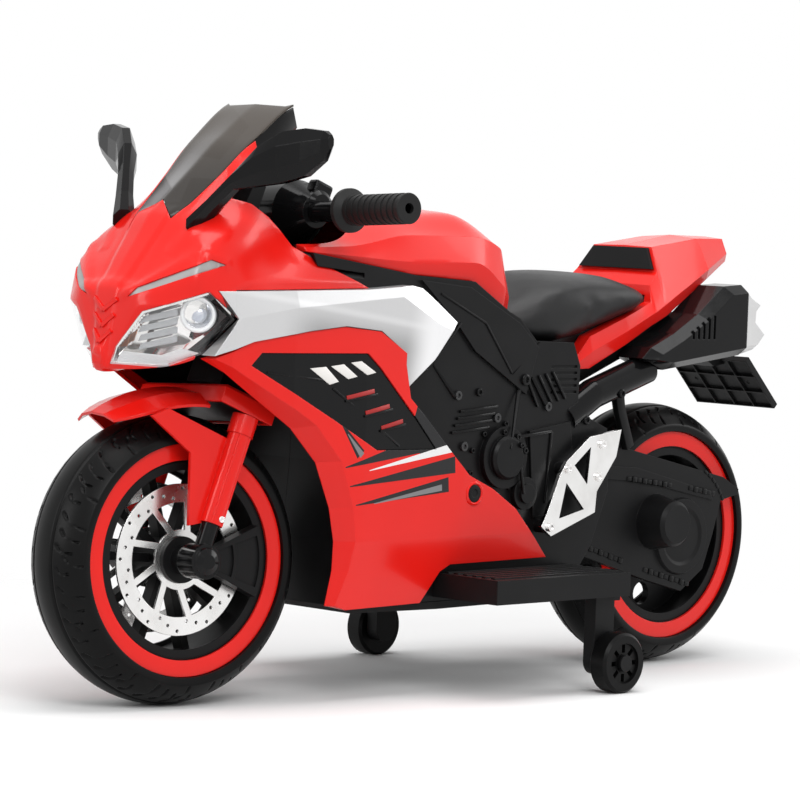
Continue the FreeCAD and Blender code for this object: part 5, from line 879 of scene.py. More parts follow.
def chrome_finish(name="plating_chrome", brushed=False):
    """Bright plating on plastic with faint waves and smudges."""
    finish = Finish(name, (0.80, 0.795, 0.785), 0.10, metallic=1.0, round_edges=0.0008)
    smudge = finish.noise(26.0, 4.0).ramp(0.35, 0.8)
    finish.feed("Roughness", smudge * 0.12 + (0.2 if brushed else 0.07))
    finish.paint(smudge, (0.84, 0.835, 0.825), (0.70, 0.69, 0.675))
    finish.grain(90.0, 2.0, 0.05, 0.0006)
    return finish.material


def bolt_finish():
    """Plated screws on the footrests, black ones on the frame."""
    finish = Finish("screw_heads", (0.8, 0.8, 0.79), 0.18, metallic=1.0, round_edges=0.0005)
    x, y, z = finish.axes()
    bright = abs(y) > FOOTREST_SIDE
    finish.paint(bright, (0.014, 0.014, 0.015), (0.80, 0.79, 0.78))
    finish.feed("Metallic", bright)
    finish.gloss(120.0, 2.0, 0.1, 0.2)
    return finish.material


def screen_finish():
    """Smoked sheet: brown in the middle, a painted pale reflection on its far half, black towards its rear
    edge.
    """
    finish = Finish("screen_smoke", (0.03, 0.027, 0.025), 0.05, specular=0.3)
    x, y, z = finish.axes()
    rear = (0.262 - x).ramp(-0.012, 0.012)
    # Painted reflection: a pale band on the far half of the sheet, fading upwards.
    painted_reflection = (y + 0.004).ramp(0.006, -0.006) * (y + 0.046).ramp(0.0, 0.030) * (z - 0.49).ramp(0.14, 0.0)
    smoke_and_painted_reflection = finish.blend((z - 0.53).ramp(0.0, 0.075), (0.030, 0.025, 0.021), (0.066, 0.054, 0.044))
    # The painted reflection is mixed into the smoke's tint here.
    smoke_and_painted_reflection = finish.blend(painted_reflection * 0.85, smoke_and_painted_reflection, (0.30, 0.295, 0.30))
    finish.paint(rear, smoke_and_painted_reflection, (0.006, 0.006, 0.006))
    finish.feed("Alpha", (rear * 0.1 + 0.9).least(0.995))
    finish.gloss(40.0, 2.0, 0.05, 0.03)
    return finish.material


def lens_finish():
    """Clear lens that shows what lies behind it, a little milky along its lower edge."""
    finish = Finish("lens_clear", (0.86, 0.88, 0.90), 0.03)
    x, y, z = finish.axes()
    finish.feed("Alpha", (z - 0.352).ramp(0.012, 0.0) * 0.25 + 0.05)
    finish.gloss(50.0, 2.0, 0.04, 0.02)
    return finish.material


def mirror_finish():
    finish = Finish("mirror_face", (0.88, 0.89, 0.90), 0.03, metallic=1.0)
    finish.gloss(30.0, 3.0, 0.05, 0.015)
    return finish.material


def tyre_finish(name="tyre_black"):
    """Blow-moulded tyre: dark and dull, with faint dust."""
    finish = Finish(name, (0.004, 0.004, 0.004), 0.5, specular=0.11)
    dust = finish.noise(22.0, 4.0).ramp(0.5, 0.8)
    finish.paint(dust * 0.45, (0.0035, 0.0035, 0.0036), (0.009, 0.0088, 0.0085))
    finish.gloss(60.0, 3.0, 0.14, 0.28)
    finish.grain(900.0, 2.0, 0.10, 0.0004)
    return finish.material


def seat_finish():
    """Black vinyl cover with a fine leather grain."""
    black = own_colour("seat")
    finish = Finish("seat_vinyl", black, 0.42, specular=0.3)
    finish.paint(finish.noise(12.0, 3.0).ramp(0.4, 0.75) * 0.5, black, shade(black, 1.8))
    finish.gloss(40.0, 3.0, 0.12, 0.36)
    finish.bump(finish.cells(620.0, "DISTANCE_TO_EDGE").ramp(0.0, 0.25), 0.22, 0.0003)
    return finish.material


def rubber_finish():
    black = (0.006, 0.006, 0.006)
    finish = Finish("grip_rubber", black, 0.55, specular=0.2, round_edges=0.0006)
    finish.paint(finish.noise(30.0, 3.0), black, shade(black, 2.0))
    finish.gloss(80.0, 2.0, 0.15, 0.42)
    finish.grain(1200.0, 1.0, 0.15, 0.0003)
    return finish.material


def steel_finish(name="axle_steel", tone=(0.55, 0.55, 0.56)):
    """Turned steel with fine lines across its length."""
    finish = Finish(name, tone, 0.3, metallic=1.0, round_edges=0.0005)
    lines = finish.noise(1.0, 3.0, finish.stretched((900.0, 30.0, 900.0)))
    finish.feed("Roughness", lines * 0.2 + 0.2)
    finish.paint(lines, shade(tone, 0.85), shade(tone, 1.15))
    return finish.material


def ball_finish():
    """Clear lamp ball, bright with a faint blue cast."""
    finish = Finish("lamp_ball", (0.62, 0.68, 0.76), 0.04, metallic=0.7, coat=0.6)
    finish.paint(finish.noise(160.0, 2.0), (0.30, 0.34, 0.44), (0.86, 0.88, 0.92))
    finish.gloss(90.0, 2.0, 0.06, 0.03)
    return finish.material


def plain_finish(name, tone, roughness, coat=0.0, metallic=0.0):
    """A moulded finish with slight drift of colour and gloss."""
    finish = Finish(name, tone, roughness, metallic=metallic, coat=coat, round_edges=0.0005)
    finish.paint(finish.noise(25.0, 3.0), shade(tone, 0.92), shade(tone, 1.06))
    finish.gloss(60.0, 2.0, 0.12, roughness - 0.06)
    return finish.material


def floor_finish():
    """Pale paper under the bike that fades into the white backdrop around it."""
    pale = own_colour("floor")
    finish = Finish("floor_paper", pale, 0.9, specular=0.1)
    x, y, z = finish.axes()
    finish.paint(finish.noise(3.0, 2.0), shade(pale, 0.985), pale)
    finish.feed("Alpha", (x * x + y * y).root().ramp(1.25, 0.55))
    return finish.material


MADE = {}


def made(maker, *given, **named):
    """A finish that is made once and then shared."""
    key = (maker.__name__, given, tuple(sorted(named.items())))
    if key not in MADE:
        MADE[key] = maker(*given, **named)
    return MADE[key]


def satin():
    return made(black_finish, "frame_satin", gloss=0.32)


# Operators

class BIKE_OT_stage(bpy.types.Operator):
    """Floor, lights, world and camera"""
    bl_idname = "bike.stage"
    bl_label = "Stage"

    def execute(self, context):
        pick_none()
        bpy.ops.mesh.primitive_grid_add(x_subdivisions=24, y_subdivisions=24, size=60)
        floor = added("studio_floor")
        floor.data.materials.append(floor_finish())
        self.world(context)
        for name, spot, size, power in SOFTBOXES:
            bpy.ops.object.light_add(type="AREA", location=spot)
            lamp = bpy.context.object
            lamp.name = "softbox_" + name
            lamp.data.shape = "RECTANGLE"
            lamp.data.size, lamp.data.size_y = size
            lamp.data.energy = power
            lamp.rotation_euler = (Vector(LIT_SPOT) - Vector(spot)).to_track_quat("-Z", "Y").to_euler()
        self.camera(context)
        context.scene.view_settings.view_transform = "Standard"
        return {"FINISHED"}

    def world(self, context):
        """White to the eye and in reflections, and a weaker light on matt surfaces."""
        world = bpy.data.worlds.new("studio")
        context.scene.world = world
        world.use_nodes = True
        tree = world.node_tree
        back = tree.nodes["Background"]
        back.inputs["Color"].default_value = (1, 1, 1, 1)
        path = tree.nodes.new("ShaderNodeLightPath")
        seen = path.outputs["Is Camera Ray"]
        for ray in ("Is Transmission Ray", "Is Glossy Ray"):
            most = tree.nodes.new("ShaderNodeMath")
            most.operation = "MAXIMUM"
            tree.links.new(seen, most.inputs[0])
            tree.links.new(path.outputs[ray], most.inputs[1])
            seen = most.outputs[0]
        level = tree.nodes.new("ShaderNodeMapRange")
        level.inputs["To Min"].default_value = WORLD_LIGHT
        level.inputs["To Max"].default_value = WORLD_SEEN
        tree.links.new(seen, level.inputs["Value"])
        tree.links.new(level.outputs[0], back.inputs["Strength"])

    def camera(self, context):
        azimuth, elevation, roll = (math.radians(angle) for angle in (AZIMUTH, ELEVATION, ROLL))
        flat = math.cos(elevation)
        back = Vector((math.sin(azimuth) * flat, math.cos(azimuth) * flat, math.sin(elevation)))
        right = (-back).cross(Vector((0, 0, 1))).normalized()
        up = right.cross(-back)
        turned_right = right * math.cos(roll) + up * math.sin(roll)
        turned_up = up * math.cos(roll) - right * math.sin(roll)
        bpy.ops.object.camera_add()
        camera = bpy.context.object
        camera.name = "photo_camera"
        camera.data.sensor_width = SENSOR
        camera.data.lens = LENS
        rows = Matrix((turned_right, turned_up, back)).transposed().to_4x4()
        camera.matrix_world = Matrix.Translation(place(*TARGET) + back * DISTANCE) @ rows
        context.scene.camera = camera


class BIKE_OT_node_finishes(bpy.types.Operator):
    """Finishes of the frame's own nodes"""
    bl_idname = "bike.node_finishes"
    bl_label = "Node finishes"

    def execute(self, context):
        button = made(plain_finish, "button_red", (0.62, 0.02, 0.015), 0.3, 0.2)
        groups = [
            (made(shell_finish), "fork_covers front_fender nose_fairing tank_cover tail_fairing "
             "front_trim_rings rear_trim_rings"),
            (made(black_finish), "swingarm_left swingarm_right footboard_left footboard_right belly_pan "
             "plate_holder dash_panel fork_yoke fork_calipers front_rim rear_rim training_brackets "
             "gearbox_housing accelerator_pedal direction_switch tail_pad"),
            (made(black_gloss_finish), "side_vents link_pipes exhausts mirrors fork_legs handlebar_cover "
             "handlebar"),
            (made(shell_finish, "shell_striped", True), "side_fairing_left side_fairing_right"),
            (satin(), "frame_left frame_right"),
            (made(silver_finish), "side_panel_left side_panel_right"),
            (made(strip_finish), "nose_strips"), (made(screen_finish), "windshield"),
            (made(lens_finish), "headlight_lenses"),
            (made(chrome_finish), "headlight_housings headlight_lamps footrest_plates"),
            (made(chrome_finish, "disc_plating", True), "front_brake_discs"),
            (made(bolt_finish), "frame_bolts"),
            (made(mirror_finish), "mirror_glasses"),
            (made(plain_finish, "tip_silver", (0.62, 0.62, 0.62), 0.3, 0.3), "exhaust_tips"),
            (made(seat_finish), "seat"), (made(tyre_finish), "front_tyre rear_tyre"),
            (made(tyre_finish, "roller_black"), "training_wheel_left training_wheel_right"),
            (made(rubber_finish), "grips"), (made(steel_finish), "front_axle rear_axle motor_pinion"),
            (made(steel_finish, "motor_can", (0.42, 0.42, 0.44)), "drive_motor"),
            (button, "horn_button power_button"),
            (made(plain_finish, "gear_nylon", (0.78, 0.77, 0.72), 0.4), "drive_gear"),
            (made(plain_finish, "battery_case", (0.06, 0.06, 0.07), 0.5), "battery")]
        table = {name: finish for finish, names in groups for name in names.split()}
        for name, piece in NODES.items():
            if name not in table:
                raise RuntimeError("no finish for " + name)
            piece.data.materials.clear()
            piece.data.materials.append(table[name])
        return {"FINISHED"}


class BIKE_OT_tyres(bpy.types.Operator):
    """Both big tyres with their moulded tread"""
    bl_idname = "bike.tyres"
    bl_label = "Tyres"

    def execute(self, context):
        for end, matrix in (("front", head_matrix()), ("rear", to_place(*REAR_AXLE))):
            tyre = self.tyre(context.scene.bike_sizes, end + "_tyre_tread", matrix)
            finished(tyre, end + "_wheel", made(tyre_finish), (end + "_tyre",))
        return {"FINISHED"}

    def section(self):
        """The closed tyre section as (y, radius), and how much of the tread each point carries."""
        reach = math.asin(CROWN_HALF / CROWN_RADIUS)
        crown = [(CROWN_RADIUS * math.sin(a), CROWN_CENTRE + CROWN_RADIUS * math.cos(a))
                 for a in np.linspace(reach, -reach, CROWN_POINTS)]
        bare = [(-y, r) for y, r in reversed(TYRE_WALL)] + TYRE_INSIDE
        tread = [0.0] * len(TYRE_WALL) + [1.0] * len(crown) + [0.0] * len(bare)
        return np.array(TYRE_WALL + crown + bare), np.array(tread)

    def slit_share(self, run, y, tile):
        """How deep the slits are at places round and across the tyre, from 0 to 1."""
        depth = np.zeros_like(run)
        for side in (1, -1):
            shifted = (run + (0.5 if side < 0 else 0.0)) % 1.0
            spots = np.column_stack([shifted * tile, y * side])
            for y0, s0, y1, s1 in SLITS:
                a = np.array([s0 * tile, y0])
                b = np.array([s1 * tile, y1])
                t = np.clip(((spots - a) @ (b - a)) / ((b - a) @ (b - a)), 0, 1)
                bow = np.column_stack([np.sin(t * math.pi) * SLIT_BOW, np.zeros_like(t)])
                gap = np.linalg.norm(spots - (a + t[:, None] * (b - a)) - bow, axis=1)
                depth = np.maximum(depth, np.clip((SLIT_HALF - gap) / SLIT_EDGE, 0, 1))
        return depth

    def tyre(self, sizes, name, matrix):
        points, tread = self.section()
        across = len(points)
        tile = 2 * math.pi * TREAD_RADIUS / sizes.tread_tiles

        def form(u, v):
            spot = np.rint(v * across).astype(int) % across
            y, r = points[spot, 0], points[spot, 1]
            turn = u * 2 * math.pi
            slits = self.slit_share((u * sizes.tread_tiles) % 1.0, y, tile)
            groove = np.clip((GROOVE_HALF - np.abs(np.abs(y) - GROOVE_AT)) / GROOVE_EDGE, 0, 1)
            r = r - np.maximum(slits, groove) * tread[spot] * sizes.tread_depth * 1000
            local = np.column_stack([r * np.sin(turn), y, r * np.cos(turn), np.ones_like(u)])
            world = (np.array(matrix) @ local.T).T[:, :3]
            return world * 1000 - np.array([SHIFT, 0, 0])

        piece = grid(name, sizes.tread_tiles * STEPS_PER_TILE, across, form)
        tidy_mesh(piece)
        smooth(piece, 60)
        return piece


def nose_relief(values):
    """Height of the beak between the lamps and of the lips over the strips, for places in metres."""
    x, y, z = values[:, 0] * 1000 - SHIFT, np.abs(values[:, 1]) * 1000, values[:, 2] * 1000
    half = BEAK_HALF + (z - BEAK_LEVEL) * BEAK_GROWTH
    beak = np.clip((half - y) / BEAK_EDGE + 0.5, 0, 1) * np.clip((BEAK_TOP - z) / BEAK_FADE, 0, 1)
    beak = beak * (x > BEAK_FROM)
    spots = np.column_stack([(x - y) * math.sqrt(0.5), z])
    lips = np.zeros(len(values))
    for start, end in NOSE_LIPS:
        a, b = np.array(start), np.array(end)
        share = np.clip((spots - a) @ (b - a) / ((b - a) @ (b - a)), 0, 1)
        away = np.linalg.norm(spots - a - share[:, None] * (b - a), axis=1)
        lips = np.maximum(lips, np.clip(LIP_CORE - away / LIP_REACH, 0, 1))
    return (beak * BEAK_RISE + lips * LIP_RISE) / 1000


def cowl():
    piece = loft("cowl_form", COWL, 10, 12, (1, 3, 5), tip=COWL_TIP)
    push(piece, nose_relief(coordinates(piece))[:, None])
    return piece


def at_rear(centre, normal):
    """Whether a face closes the cowl's rear end."""
    return centre.x < (COWL_REAR + SHIFT) / 1000 and normal.x < -0.9


def view_axes():
    """The headlight's own view: the way out of the bike, and across to the front."""
    yaw = math.radians(HEADLIGHT_YAW)
    return Vector((math.cos(yaw), math.sin(yaw), 0)), Vector((math.sin(yaw), -math.cos(yaw), 0))


def view_prism(name, shares, depth, side):
    """An outline run along the headlight's view, on one side."""
    out, across = view_axes()
    outline = [(a * LENGTH, z * HEIGHT) for a, z in shares]
    if depth:
        outline = drawn_in(outline, depth)
    points = []
    for a, z in outline:
        spot = across * a + out * TOOL_REACH + Vector((0, 0, z))
        points.append(place(spot.x, spot.y * side, spot.z))
    run = out * (TOOL_REACH / 1000)
    return prism(name, points, (run.x, run.y * side, 0))


def screen_prism(grow):
    slope = math.radians(SCREEN_SLOPE)
    back = Vector((-math.cos(slope), 0, math.sin(slope)))
    normal = Vector((math.sin(slope), 0, math.cos(slope)))
    half = [(s * SCREEN_LENGTH, y * WIDTH) for s, y in SCREEN]
    whole = half + [(s, -y) for s, y in reversed(half) if y > 0]
    points = []
    for s, y in (drawn_in(whole, -grow) if grow else whole):
        points.append(place(*(Vector(NOTCH) + back * s + Vector((0, y, 0)) - normal * SCREEN_TOOL_HALF)))
    return prism("screen_tool", points, normal * (2 * SCREEN_TOOL_HALF / 1000))


class BIKE_OT_nose(bpy.types.Operator):
    """Nose shell, screen, lenses and strips, all from one smooth cowl"""
    bl_idname = "bike.nose"
    bl_label = "Nose"

    def execute(self, context):
        sizes = context.scene.bike_sizes
        nose = cowl()
        tools = [screen_prism(0.8), side_prism("cockpit_tool", COCKPIT), side_prism("seam_tool", NOSE_SEAM)]
        for side in (1, -1):
            low, high = sorted((side * NOTCH_INNER, side * TOOL_REACH))
            tools.append(view_prism("light_tool", HEADLIGHT, 0.0, side))
            tools.append(view_prism("strip_tool", STRIP, 0.0, side))
            tools.append(side_prism("notch_tool", NOSE_NOTCH, low, high))
        cut(nose, tools)
        keep_skin(nose, at_rear)
        thicken(nose, sizes.shell_wall, 0.0008)
        smooth(named(nose, "nose_shell"))
        finished(nose, "chassis", made(shell_finish), ("nose_fairing",))
        self.chevrons()
        screen = cowl()
        cut(screen, [screen_prism(0.0)], "INTERSECT")
        keep_skin(screen, at_rear)
        thicken(screen, sizes.lens_wall, 0.0004)
        smooth(named(screen, "screen_sheet"))
        finished(screen, "chassis", made(screen_finish), ("windshield",))
        self.flanks(coordinates(screen))
        lens = self.patches("headlight_glass", HEADLIGHT, 0.3, sizes.lens_wall)
        finished(lens, "chassis", made(lens_finish), ("headlight_lenses",))
        strip = self.patches("nose_inlays", STRIP, 0.15, STRIP_WALL, STRIP_SINK)
        finished(strip, "chassis", made(strip_finish), ("nose_strips",))
        return {"FINISHED"}

    def flanks(self, values):
        """Black side walls that fold back from the screen's upper edges."""
        edge = []
        for drop in FLANK_DROPS:
            level = values[np.abs(values[:, 2] - values[:, 2].max() + drop) < 0.002]
            edge.append(Vector(level[level[:, 1].argmax()]) + Vector(FLANK_BEHIND))
        rear = [place(276, edge[-1].y * 1000 - 4, 562), place(238, edge[-1].y * 1000 - 5, 598)]
        wall = prism("screen_flank", edge + rear, (0, -FLANK_WALL, 0))
        pair("screen_flanks", [soften(wall, 0.5)], made(black_gloss_finish))

    def chevrons(self):
        """Three stacked ribs on the beak between the lamps."""
        tree = skin_tree("nose_shell")
        ribs = []
        for height, half in CHEVRONS:
            for side in (1, -1):
                outline = bar((0, height - 8), (side * half, height + 4), 4.5)
                rib = prism("chevron", [place(0, y, z) for y, z in outline], (DRAWN, 0, 0))
                values = coordinates(rib)
                for value in values:
                    hit = tree.ray_cast(Vector((0.7, value[1], value[2])), Vector((-1, 0, 0)))[0]
                    value[0] = hit.x + (0.002 if value[0] > SHIFT / 1000 + DRAWN / 2 else -0.0015)
                set_coordinates(rib, values)
                tidy_mesh(rib)
                ribs.append(rib)
        finished(joined("beak_ribs", ribs), "chassis", made(shell_finish))

    def patches(self, name, shares, gap, wall, sink=0.0):
        """Two walls cut out of the cowl by an outline seen along the headlight's view."""
        pieces = []
        for side in (1, -1):
            piece = cowl()
            cut(piece, [view_prism("patch_tool", shares, gap, side)], "INTERSECT")
            keep_skin(piece)
            push(piece, -sink)
            thicken(piece, wall, 0.0003)
            pieces.append(piece)
        both = joined(name, pieces)
        smooth(both)
        return both


class BIKE_OT_tank(bpy.types.Operator):
    """Smooth tank cover with its seam and the room for the bar"""
    bl_idname = "bike.tank"
    bl_label = "Tank"

    def execute(self, context):
        tank = loft("tank_form", TANK, 8, 9, (1, 2, 3))
        reach, low, high = BAR_ROOM
        room = lathe("bar_room", [(low, 0), (low, reach), (high, reach), (high, 0)], 64,
                     head_matrix() @ Matrix.Rotation(math.pi / 2, 4, "X"))
        cut(tank, [side_prism("seam_tool", TANK_SEAM), room])
        keep_skin(tank)
        thicken(tank, context.scene.bike_sizes.shell_wall, 0.0008)
        smooth(named(tank, "tank_shell"), 28)
        finished(tank, "chassis", made(shell_finish), ("tank_cover",))
        return {"FINISHED"}


class BIKE_OT_seat(bpy.types.Operator):
    """Padded seat, swollen by a cloth simulation"""
    bl_idname = "bike.seat"
    bl_label = "Seat"

    def execute(self, context):
        sizes = context.scene.bike_sizes
        seat = copied(NODES["seat"], Matrix.Identity(4), "seat_cushion")
        tidy_mesh(seat)
        modify(seat, "REMESH", mode="VOXEL", voxel_size=sizes.seat_voxel)
        values = coordinates(seat)
        middle = (values.max(axis=0) + values.min(axis=0)) / 2
        shrunk = middle + (values - middle) * np.array(SEAT_SHRINK)
        rise = (shrunk[:, 2] - shrunk[:, 2].min()) / np.ptp(shrunk[:, 2])
        lead = np.clip((shrunk[:, 0] - shrunk[:, 0].max()) / sizes.seat_dip_run + 1, 0, 1)
        shrunk[:, 2] -= sizes.seat_dip * rise * lead * lead * (3 - 2 * lead)
        set_coordinates(seat, shrunk)
        self.swell(context, seat, shrunk, sizes.seat_swell)
        modify(seat, "SMOOTH", factor=0.5, iterations=12)
        modify(seat, "SUBSURF", levels=1, render_levels=1)
        pick(seat)
        bpy.ops.object.shade_smooth()
        finished(seat, "chassis", made(seat_finish), ("seat",))
        return {"FINISHED"}

    def swell(self, context, seat, before, most):
        """Lets inner pressure push the cover out, held to a most."""
        cloth = seat.modifiers.new("cover", "CLOTH")
        cloth.settings.use_pressure = True
        cloth.settings.uniform_pressure_force = SEAT_PRESSURE
        cloth.settings.effector_weights.gravity = 0.0
        for step in range(1, SWELL_FRAMES + 1):
            context.scene.frame_set(step)
        shape = seat.evaluated_get(context.evaluated_depsgraph_get())
        move = vectors(shape.data.vertices, "co") - before
        size = np.linalg.norm(move, axis=1, keepdims=True)
        move *= np.minimum(1, most / np.maximum(size, 1e-9))
        seat.modifiers.remove(cloth)
        context.scene.frame_set(1)
        set_coordinates(seat, before + move)


class BIKE_OT_lamps(bpy.types.Operator):
    """Bowl, bars, tray and trim behind the headlight glass"""
    bl_idname = "bike.lamps"
    bl_label = "Lamps"

    def execute(self, context):
        self.tree = skin_tree("headlight_glass")
        silver = made(plain_finish, "lamp_silver", (0.40, 0.41, 0.42), 0.22, 0.2, 0.6)
        pale = made(plain_finish, "lamp_pale", (0.82, 0.83, 0.84), 0.35, 0.2)
        amber = made(plain_finish, "lamp_amber", (0.80, 0.22, 0.02), 0.3, 0.3)
        chrome, black = made(chrome_finish), made(black_gloss_finish)
        aim = self.aim(*LAMP_SPOT)
        pair("lamp_bowls", [lathe("lamp_bowl", LAMP_BOWL, 48, aim, 40)], chrome)
        pair("lamp_rings", [lathe("lamp_ring", LAMP_RING, 48, aim, 40)], pale)
        pair("lamp_balls", [lathe("lamp_ball", LAMP_BALL, 32, aim, 60)], made(ball_finish))
        bars = []
        for low in LAMP_BARS:
            outline = [(0.290, low), (0.250, low + 0.020), (0.250, low + 0.034), (0.287, low + 0.014)]
            bars.append(self.plate("lamp_bar", outline, 9, 3))
        pair("lamp_bars", bars, silver)
        pair("lamp_trays", [self.plate("lamp_tray", LAMP_TRAY, 4, 4)], pale)
        pair("lamp_edges", [self.plate("lamp_edge", LAMP_EDGE, 3, 4)], black)
        pair("lamp_ambers", [self.plate("lamp_amber", LAMP_AMBER, 12, 3)], amber)
        beads = []
        for step in range(BEAD_COUNT):
            share = step / (BEAD_COUNT - 1)
            across, height = (start + run * share for start, run in zip(BEAD_START, BEAD_RUN))
            beads.append(lathe("lamp_bead", LAMP_BEAD, 8, self.aim(across, height, BEAD_DEPTH)))
        pair("lamp_beads", beads, chrome)
        return {"FINISHED"}

    def spot(self, across, height, depth):
        """A place behind the left glass, from shares seen along the headlight's view."""
        out, side = view_axes()
        start = side * (across * LENGTH) + out * GLASS_AWAY + Vector((0, 0, height * HEIGHT))
        hit = self.tree.ray_cast(place(*start), -out)[0]
        if hit is None:
            hit = place(*(start - out * GLASS_MISSED))
        return hit - out * (depth / 1000)

    def aim(self, across, height, depth):
        turn = Matrix.Rotation(math.radians(-HEADLIGHT_YAW), 4, "Z")
        return Matrix.Translation(self.spot(across, height, depth)) @ turn @ Matrix.Scale(0.001, 4)

    def plate(self, name, shares, depth, thick):
        out, side = view_axes()
        return soften(prism(name, [self.spot(a, z, depth) for a, z in shares], -out * (thick / 1000)), 0.5)


class BIKE_OT_side_details(bpy.types.Operator):
    """Slashes and slots of the vents, screws, plugs and stays on the bike's sides"""
    bl_idname = "bike.side_details"
    bl_label = "Side details"

    def execute(self, context):
        self.vents(skin_tree("side_vents"))
        self.engine(skin_tree("frame_left", "link_pipes", "frame_bolts"))
        self.plugs(skin_tree("side_fairing_left"))
        stay = prism("stay", [place(x, STAY_SIDE, z) for x, z in STAY], (0, 0.009, 0))
        pair("pipe_stays", [soften(stay, 1.2)], made(black_finish))
        return {"FINISHED"}

    def vents(self, vent):
        white = made(plain_finish, "slash_white", (0.80, 0.78, 0.75), 0.32, 0.2)
        slashes = [raised("slash", outline, vent, 0.9) for outline in SLASHES]
        pair("vent_slashes", slashes, white)
        reds = [raised("slot_red", bar(start, end, 4.6), vent, 0.9, 0.1) for start, end in SLOTS]
        pair("vent_slots", reds, made(plain_finish, "slot_red", (0.36, 0.006, 0.005), 0.4))
        rims = []
        for start, end in SLOTS:
            below = bar((start[0] + 2, start[1] - 3.2), (end[0] - 4, end[1] - 3.2), 2.4)
            rims.append(raised("slot_rim", below, vent, 2.0))
        rims.append(raised("vent_ridge", bar((247, 331), (150, 270), 2.6), vent, 1.6, 0.7))
        rims.append(raised("vent_brow", bar((335, 348), (262, 340), 2.2), vent, 1.4, 0.6))
        pair("vent_ridges", rims, made(black_gloss_finish))

    def engine(self, frame):
        """Screws, fins and ridges on the frame's moulded engine."""
        heads = []
        for x, z, radius in SCREWS:
            heads.append(stud("screw", radius, 3.2, to_place(x, side_y(frame, x, z, FRAME_SIDE), z)))
        for step in range(COVER_SCREWS):
            angle = math.radians(25 + 360 / COVER_SCREWS * step)
            x = COVER_CENTRE[0] + COVER_RADIUS * math.cos(angle)
            z = COVER_CENTRE[1] + COVER_RADIUS * math.sin(angle)
            spot = to_place(x, side_y(frame, x, z, FRAME_SIDE), z)
            heads.append(stud("cover_screw_black", 3.2, 3.4, spot, 12))
        pair("side_screws", heads, made(black_gloss_finish))
        fins = []
        for step in range(4):
            low = 276 + 7.5 * step
            line = bar((50 - 4 * step, low + 4), (-8 - 4 * step, low + 9), 3.0)
            fins.append(raised("engine_fin", line, frame, 3.0, 0.8))
        for step in range(5):
            x = -62 - 11 * step
            line = bar((x, 336 + 2 * step), (x - 22, 306 + 2 * step), 3.0)
            fins.append(raised("barrel_fin", line, frame, 2.6, 0.8))
        fins += [raised("cover_edge", bar(start, end, 3.4), frame, 2.0, 0.8) for start, end in COVER_EDGES]
        pair("engine_fins", fins, made(black_gloss_finish))
        ridges = [raised("frame_ridge", bar(start, end, 2.4), frame, 1.3, 0.5) for start, end in FRAME_RIDGES]
        pair("frame_ridges", ridges, satin())

    def plugs(self, fairing):
        x, z = PLUG
        spot = to_place(x, side_y(fairing, x, z, 100), z)
        pair("plug_lips", [lathe("plug_lip", PLUG_LIP, 32, spot, 40)], made(shell_finish))
        pair("fairing_plugs", [stud("fairing_plug", 9.4, 1.4, spot, 32)], made(black_finish))


class BIKE_OT_drive_details(bpy.types.Operator):
    """Moulded chain links and chainwheel teeth on the swingarm covers"""
    bl_idname = "bike.drive_details"
    bl_label = "Drive details"

    def execute(self, context):
        tree = skin_tree("swingarm_left")
        link = block("chain_link", (-6.4, -1.0, -3.4), (6.4, 1.9, 3.4), to_place(0, 0, 0), 1.6)
        pieces = []
        for start, end in CHAIN_RUNS:
            dx, dz = end[0] - start[0], end[1] - start[1]
            count = max(2, round(math.hypot(dx, dz) / CHAIN_PITCH))
            for step in range(count + 1):
                share = step / count
                sizes = (0.62, 1.0, 1.0, 1) if step % 2 else (0.62, 0.6, 0.8, 1)
                turn = Matrix.Rotation(-math.atan2(dz, dx), 4, "Y") @ Matrix.Diagonal(sizes)
                pieces += self.laid(tree, link, start[0] + dx * share, start[1] + dz * share, turn)
        for step in range(CHAINWHEEL_TEETH):
            angle = math.radians(CHAINWHEEL_FROM + CHAINWHEEL_STEP * step)
            turn = Matrix.Rotation(angle + math.pi / 2, 4, "Y") @ Matrix.Scale(TOOTH_SCALE, 4)
            x = REAR_AXLE[0] - CHAINWHEEL_RADIUS * math.cos(angle)
            pieces += self.laid(tree, link, x, REAR_AXLE[2] + CHAINWHEEL_RADIUS * math.sin(angle), turn)
        bpy.data.objects.remove(link)
        chain = on_both("moulded_chain", pieces)
        smooth(chain, 40)
        finished(chain, "chassis", made(black_finish))
        return {"FINISHED"}

    def laid(self, tree, link, x, z, turn):
        """A link on the cover's skin, or none where there is no cover."""
        y = side_y(tree, x, z, None)
        if y is None:
            return []
        matrix = Matrix.Translation(place(x, y, z)) @ turn @ Matrix.Translation(-place(0, 0, 0))
        return [copied(link, matrix, "chain_link_copy")]


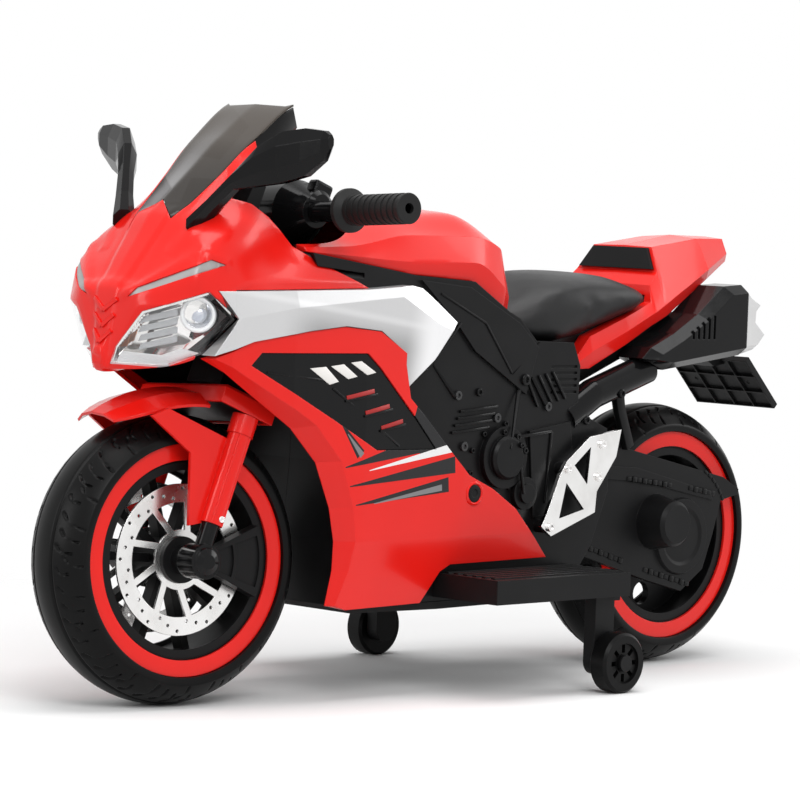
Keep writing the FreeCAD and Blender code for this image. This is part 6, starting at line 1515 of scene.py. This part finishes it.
class BIKE_OT_bar_details(bpy.types.Operator):
    """Clamp lumps on the handlebar and the screws of the fork covers"""
    bl_idname = "bike.bar_details"
    bl_label = "Bar details"

    def execute(self, context):
        head = head_matrix()
        lumps = []
        for y, radius, length, lift in BAR_LUMPS:
            low, high = y - length / 2, y + length / 2
            profile = [(low, 0), (low, radius * 0.72), (y - length / 4, radius), (y + length / 4, radius),
                       (high, radius * 0.7), (high, 0)]
            raise_by = Matrix.Translation((-2, 0, BAR_RISE + lift))
            lumps.append(lathe("bar_lump", profile, 24, head @ raise_by, 35))
        lumps.append(block("bar_cap", (-14, 44, BAR_RISE + 18), (10, 60, BAR_RISE + 34), head, 3.5))
        finished(joined("bar_clamps", lumps), "steering", made(black_gloss_finish))
        screws = []
        x, y, z = COVER_SCREW
        for side in (1, -1):
            turn = Matrix.Rotation(0 if side > 0 else math.pi, 4, "Z")
            screws.append(stud("cover_screw", 3.6, 2.0, head @ Matrix.Translation((x, side * y, z)) @ turn))
        finished(joined("cover_screws", screws), "steering", made(chrome_finish))
        return {"FINISHED"}


class BIKE_PT_panel(bpy.types.Panel):
    """Lists the bike's pieces, sizes and colours"""
    bl_idname = "BIKE_PT_panel"
    bl_label = "Motorbike"
    bl_space_type = "VIEW_3D"
    bl_region_type = "UI"
    bl_category = "Motorbike"

    def draw(self, context):
        for operator in OPERATORS:
            self.layout.operator(operator.bl_idname)
        for group in (context.scene.bike_sizes, context.scene.bike_colours):
            for key in group.__annotations__:
                self.layout.prop(group, key)


OPERATORS = (BIKE_OT_stage, BIKE_OT_node_finishes, BIKE_OT_tyres, BIKE_OT_nose, BIKE_OT_tank, BIKE_OT_lamps,
             BIKE_OT_seat, BIKE_OT_side_details, BIKE_OT_drive_details, BIKE_OT_bar_details)
CLASSES = (BikeSizes, BikeColours) + OPERATORS + (BIKE_PT_panel,)


def register():
    for item in CLASSES:
        bpy.utils.register_class(item)
    bpy.types.Scene.bike_sizes = bpy.props.PointerProperty(type=BikeSizes)
    bpy.types.Scene.bike_colours = bpy.props.PointerProperty(type=BikeColours)


def unregister():
    del bpy.types.Scene.bike_colours
    del bpy.types.Scene.bike_sizes
    for item in reversed(CLASSES):
        bpy.utils.unregister_class(item)


def main():
    register()
    for operator in OPERATORS:
        getattr(bpy.ops.bike, operator.bl_idname.split(".")[1])()


if __name__ == "__main__":
    main()
